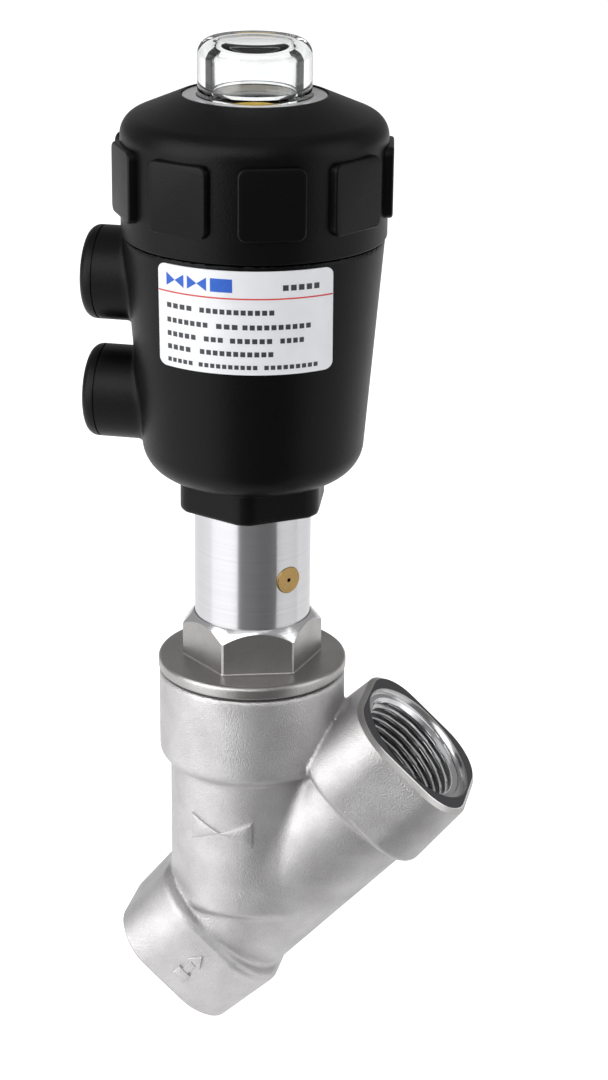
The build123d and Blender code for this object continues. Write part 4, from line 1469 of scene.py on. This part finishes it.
@dataclass(frozen=True)
class Label:
    """Printed marks on the thin plate that follows the tapered wall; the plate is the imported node.

    Attributes hold its sizes in millimetres and its turn in degrees. Flat points are counted to the right of
    its middle and down from its top edge.
    """

    shop: Workshop
    low: float = 126.3
    height: float = 21.8
    turn: float = -81.9
    lift: float = 0.27
    ink: float = 0.03
    wall_r: float = 22.9
    wall_low: float = 97.5
    wall_height: float = 51.5
    wall_gain: float = 4.2
    block_share: float = 0.7
    block_pitch: float = 0.95
    rows: tuple = (
        (8.6, 1.5, ((-16.6, -10.2), (-8.9, 6.6))),
        (11.7, 1.5, ((-16.6, -6.8), (-5.4, -0.6), (-0.1, 14.2))),
        (14.6, 1.5, ((-16.6, -9.4), (-8.0, -3.6), (-2.6, 6.2), (7.4, 12.7))),
        (17.4, 1.5, ((-16.6, -10.6), (-8.9, 6.4))),
        (20.2, 1.3, ((-16.6, -10.2), (-9.2, 3.2), (4.2, 15.8))),
        (3.5, 1.7, ((7.9, 16.1),)),
    )

    def wrap(self, points: np.ndarray, lift: float) -> np.ndarray:
        """Lays flat points on the wall at a height above it."""
        z = self.low + self.height - points[:, 1]
        radius = self.wall_r + (z - self.wall_low) / self.wall_height * self.wall_gain
        return round_stem(radius + lift, np.radians(self.turn) + points[:, 0] / radius, z)

    def print_marks(self, name: str, outlines: Sequence[Flat], finish: str) -> None:
        """Makes thin printed marks from flat outlines.

        Args:
            name: Name of the piece.
            outlines: Convex outlines.
            finish: Name of the finish.
        """
        marks = []
        for outline in outlines:
            dense: Flat = []
            for (u, v), (nu, nv) in zip(outline, [*outline[1:], outline[0]]):
                parts = max(1, int(abs(nu - u) / 0.8))
                dense += [(u + (nu - u) * j / parts, v + (nv - v) * j / parts) for j in range(parts)]
            flat = np.array(dense)
            count = len(flat)
            levels = [self.wrap(flat, self.lift - 0.02), self.wrap(flat, self.lift + self.ink)]
            verts, faces = stack_rings(levels)
            half = self.fan(count)
            faces[-2:] = [f[::-1] for f in half] + [tuple(count + i for i in f) for f in half]
            marks.append((verts, faces))
        self.shop.hand_over(new_object(name, gather(marks)), Body.ACTUATOR, Slot.LABEL, finish)

    def fan(self, count: int) -> list[tuple[int, ...]]:
        """Strip of faces across a closed outline of some points, from its first point and its last."""
        left, right = 0, count - 1
        strips: list[tuple[int, ...]] = []
        while right - left > 2:
            strips.append((left, left + 1, right - 1, right))
            left, right = left + 1, right - 1
        if right - left == 2:
            strips.append((left, left + 1, right))
        return strips

    def bar(self, left: float, right: float, middle: float, tall: float) -> Flat:
        """Outline of a level bar."""
        return [(x, middle + side * tall / 2) for x, side in ((left, -1), (right, -1), (right, 1), (left, 1))]

    def words(self) -> list[Flat]:
        """Rows of plain blocks that stand where small print goes."""
        blocks = []
        for middle, tall, spans in self.rows:
            for left, right in spans:
                count = max(2, round((right - left) / (tall * self.block_pitch)))
                step, size = (right - left) / count, self.block_share
                for k in range(count):
                    blocks.append(self.bar(left + k * step, left + (k + size) * step, middle, tall * size))
        return blocks

    def build(self) -> None:
        """Makes the blocks, the rule and the bow-tie signs."""
        self.print_marks("label_words", self.words(), "print_dark")
        self.print_marks("label_rule", [self.bar(-18.8, 18.8, 5.75, 0.3)], "print_red")
        mark = []
        for left in (-16.6, -11.6):
            mark.append([(left, 1.7), (left + 2.1, 3.1), (left, 4.5)])
            mark.append([(left + 4.2, 1.7), (left + 4.2, 4.5), (left + 2.1, 3.1)])
        mark.append(self.bar(-6.6, -2.1, 3.1, 2.8))
        self.print_marks("label_mark", mark, "print_blue")


@dataclass(frozen=True)
class ReturnSprings:
    """Round-wire closing springs that shorten as the stem rises. Attributes hold sizes in millimetres."""

    shop: Workshop
    coils: RuleTree
    low: float = 118.5
    high: float = 168.45
    stroke: float = 8
    seat_gap: float = 0.05

    def build(self) -> None:
        """Makes both springs."""
        whole = self.high - self.low
        for name, radius, wire, turns in (("outer", 13.6, 1.35, 6.0), ("inner", 10.2, 0.9, 8.0)):
            spring = new_object(name + "_coil")
            length = whole - 2 * wire - 2 * self.seat_gap
            sizes = {"Coil Radius": radius * MM, "Wire Radius": wire * MM}
            sizes |= {"Length": length * MM, "Turns": turns}
            self.coils.grow(spring, self.shop.materials["spring_wire"], sizes)
            spring.data.transform(stand((0, 0, self.low + wire + self.seat_gap)))
            outward(spring.data)
            node = "return_spring_" + name
            self.shop.hand_over(spring, Body.ACTUATOR, Slot.SPRING, "spring_wire", node, 40)
            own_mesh(spring)


# ---------------------------------------------------------------- set
@dataclass(frozen=True)
class Studio:
    """Pale floor, soft lamps, cards and the camera.

    Attributes:
        floor_size: Side of the floor in metres.
        aim_height: Height in metres that the lamps aim at.
        lamps: Name, azimuth from -Y towards +X, elevation, distance, size in metres and watts of each lamp.
        cards: Name, first and last azimuth, brightness where 1 is white, and whether it shows in reflections.
        lens: Focal length of the camera in millimetres.
        angles: Azimuth, pitch and roll of the camera in degrees.
        spot: Distance out, height and shift to the right of the camera in millimetres.
    """

    floor_size: float = 6.0
    aim_height: float = 0.1
    lamps: tuple = (
        ("left_box", -46, 20, 1.1, (1.1, 1.4), 10),
        ("right_box", 86, 15, 1.1, (0.7, 1.4), 3),
        ("front_box", 0, 35, 1.3, (0.9, 0.9), 4),
        ("top_box", 10, 78, 1.2, (1.0, 1.0), 1.2),
    )
    cards: tuple = (
        ("left_card", -75, -16, 1.2, True),
        ("front_card", -16, 60, 0.15, True),
        ("right_card", 60, 111, 0.75, True),
        ("back_card_left", 110, 158, 0.01, False),
        ("back_card_right", 225, 273, 0.01, False),
    )
    lens: float = 86.81
    angles: tuple[float, float, float] = (11.547, 20.54, 0.691)
    spot: tuple[float, float, float] = (525.77, 278.67, 11.058)

    def build(self) -> None:
        """Sets up the stage."""
        self.world()
        self.floor()
        for lamp in self.lamps:
            self.lamp(*lamp)
        for card in self.cards:
            self.card(*card)
        self.camera()
        bpy.context.scene.view_settings.view_transform = "Standard"

    def below(self, gap: float) -> float:
        """Height at a gap in metres under the lowest point of the valve."""
        return min(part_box(name)[0].z for name in frame["nodes"]) - gap

    def world(self) -> None:
        """White surroundings for what is seen, softer light for what is lit."""
        world = bpy.data.worlds.new("studio")
        bpy.context.scene.world = world
        world.use_nodes = True
        n = Nodes(world.node_tree)
        back = world.node_tree.nodes["Background"].inputs
        back["Color"].default_value = (1, 1, 1, 1)
        n.feed(back["Strength"], n.ramp(n.seen(0.1), 0.0, 1.0, 0.25, 1.0))

    def staged(self, name: str, verts: list, faces: list, grey: float, rough: float, glow: float) -> Piece:
        """Makes a plain thing of the stage that glows white by itself.

        Args:
            name: Name of the thing.
            verts: Vertices in metres.
            faces: Faces.
            grey: Grey of its surface.
            rough: Roughness of its surface.
            glow: Strength of its own light.

        Returns:
            The object.
        """
        mesh = bpy.data.meshes.new(name)
        mesh.from_pydata(verts, [], faces)
        paint = bpy.data.materials.new(name + "_paint")
        paint.use_nodes = True
        shader = paint.node_tree.nodes["Principled BSDF"].inputs
        shader["Base Color"].default_value = (grey, grey, grey, 1)
        shader["Roughness"].default_value = rough
        shader["Emission Color"].default_value = (1, 1, 1, 1)
        shader["Emission Strength"].default_value = glow
        mesh.materials.append(paint)
        thing = link(bpy.data.objects.new(name, mesh))
        thing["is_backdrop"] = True
        return thing

    def floor(self) -> None:
        """White floor just below the valve."""
        level, white, glow, mirrored = self.below(0.0004), 0.9, 0.84, 0.5
        corners = [(x, y, level) for x, y in box_corners(self.floor_size / 2, self.floor_size / 2)]
        floor = self.staged("floor", corners, [(0, 1, 2, 3)], white, 0.9, glow)
        n = Nodes(floor.active_material.node_tree)
        strength = n.tree.nodes["Principled BSDF"].inputs["Emission Strength"]
        n.feed(strength, n.sum("MULTIPLY", n.seen(mirrored), glow))

    def card(self, name: str, start: float, end: float, strength: float, mirrored: bool) -> None:
        """Lays a card on the floor round the valve and up a wall, seen only in reflections or through the dome.

        Args:
            name: Name of the card.
            start: First azimuth in degrees, from -Y towards +X.
            end: Last azimuth.
            strength: Brightness of the card, where 1 is white.
            mirrored: Whether it shows in reflections; otherwise it shows through clear pieces.
        """
        low, inside, outside, tall = self.below(0.0002), 0.045, 1.5, 1.1
        stem = float(ORIGIN[0]) * MM
        verts, faces = [], []
        for k, azimuth in enumerate(np.radians(np.linspace(start, end, 17))):
            for out, high in ((inside, low), (outside, low), (outside, low + tall)):
                verts.append((stem + out * math.sin(azimuth), -out * math.cos(azimuth), high))
            if k:
                faces += [(3 * k - 3 + j, 3 * k + j, 3 * k + 1 + j, 3 * k - 2 + j) for j in (0, 1)]
        card = self.staged(name, verts, faces, 0.0, 0.5, strength)
        card.visible_camera = card.visible_diffuse = card.visible_shadow = False
        card.visible_glossy = mirrored
        card.visible_transmission = not mirrored

    def lamp(
        self,
        name: str,
        azimuth: float,
        elevation: float,
        distance: float,
        size: tuple[float, float],
        power: float,
    ) -> None:
        """Places an area lamp aimed at the valve's middle.

        Args:
            name: Name of the lamp.
            azimuth: Degrees round the stem from -Y towards +X.
            elevation: Degrees above level.
            distance: Metres from the middle.
            size: Width and height in metres.
            power: Watts.
        """
        data = bpy.data.lights.new(name, "AREA")
        data.shape = "RECTANGLE"
        data.size, data.size_y = size
        data.energy = power
        a, e = math.radians(azimuth), math.radians(elevation)
        middle = Vector((ORIGIN[0] * MM, 0, self.aim_height))
        away = Vector((math.sin(a) * math.cos(e), -math.cos(a) * math.cos(e), math.sin(e)))
        facing = away.to_track_quat("Z", "Y").to_matrix().to_4x4()
        lamp = link(bpy.data.objects.new(name, data))
        lamp.matrix_world = Matrix.Translation(middle + away * distance) @ facing

    def camera(self) -> None:
        """Places the camera in front, above and slightly to the right."""
        azimuth, pitch, roll = (math.radians(angle) for angle in self.angles)
        out, height, shift = self.spot
        sine, cosine = math.sin(azimuth), math.cos(azimuth)
        right = Vector((cosine, sine, 0))
        ahead = Vector((-sine * math.cos(pitch), cosine * math.cos(pitch), -math.sin(pitch)))
        up = right.cross(ahead)
        spot = Vector((out * sine, -out * cosine, height)) + right * shift
        x_axis = right * math.cos(roll) + up * math.sin(roll)
        y_axis = up * math.cos(roll) - right * math.sin(roll)
        data = bpy.data.cameras.new("camera")
        data.lens = self.lens
        data.clip_start = 0.01
        data.clip_end = 20
        camera = link(bpy.data.objects.new("camera", data))
        facing = Matrix((x_axis, y_axis, -ahead)).transposed().to_4x4()
        camera.matrix_world = Matrix.Translation((spot + Vector(ORIGIN)) * MM) @ facing
        bpy.context.scene.camera = camera


def save_sizes(sizes: dict[str, list[list[float]]], name: str) -> None:
    """Measures the box round everything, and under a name."""
    sizes[name] = [[float(v) for v in corner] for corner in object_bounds()]


def main() -> None:
    """Builds the finished valve piece by piece."""
    logging.basicConfig(level=logging.INFO, format="%(message)s")
    sizes: dict[str, list[list[float]]] = {}
    save_sizes(sizes, "cad")
    shop = Workshop()
    shop.dress_solids()
    threads, coils, repeats = thread_tree(), spring_tree(), repeat_tree()
    for assembly in (
        CastBody(shop, threads),
        Bonnet(shop),
        Housing(shop, threads),
        Cover(shop, repeats),
        Label(shop),
        ReturnSprings(shop, coils),
        Studio(),
    ):
        assembly.build()
    save_sizes(sizes, "visual")


if __name__ == "__main__":
    main()
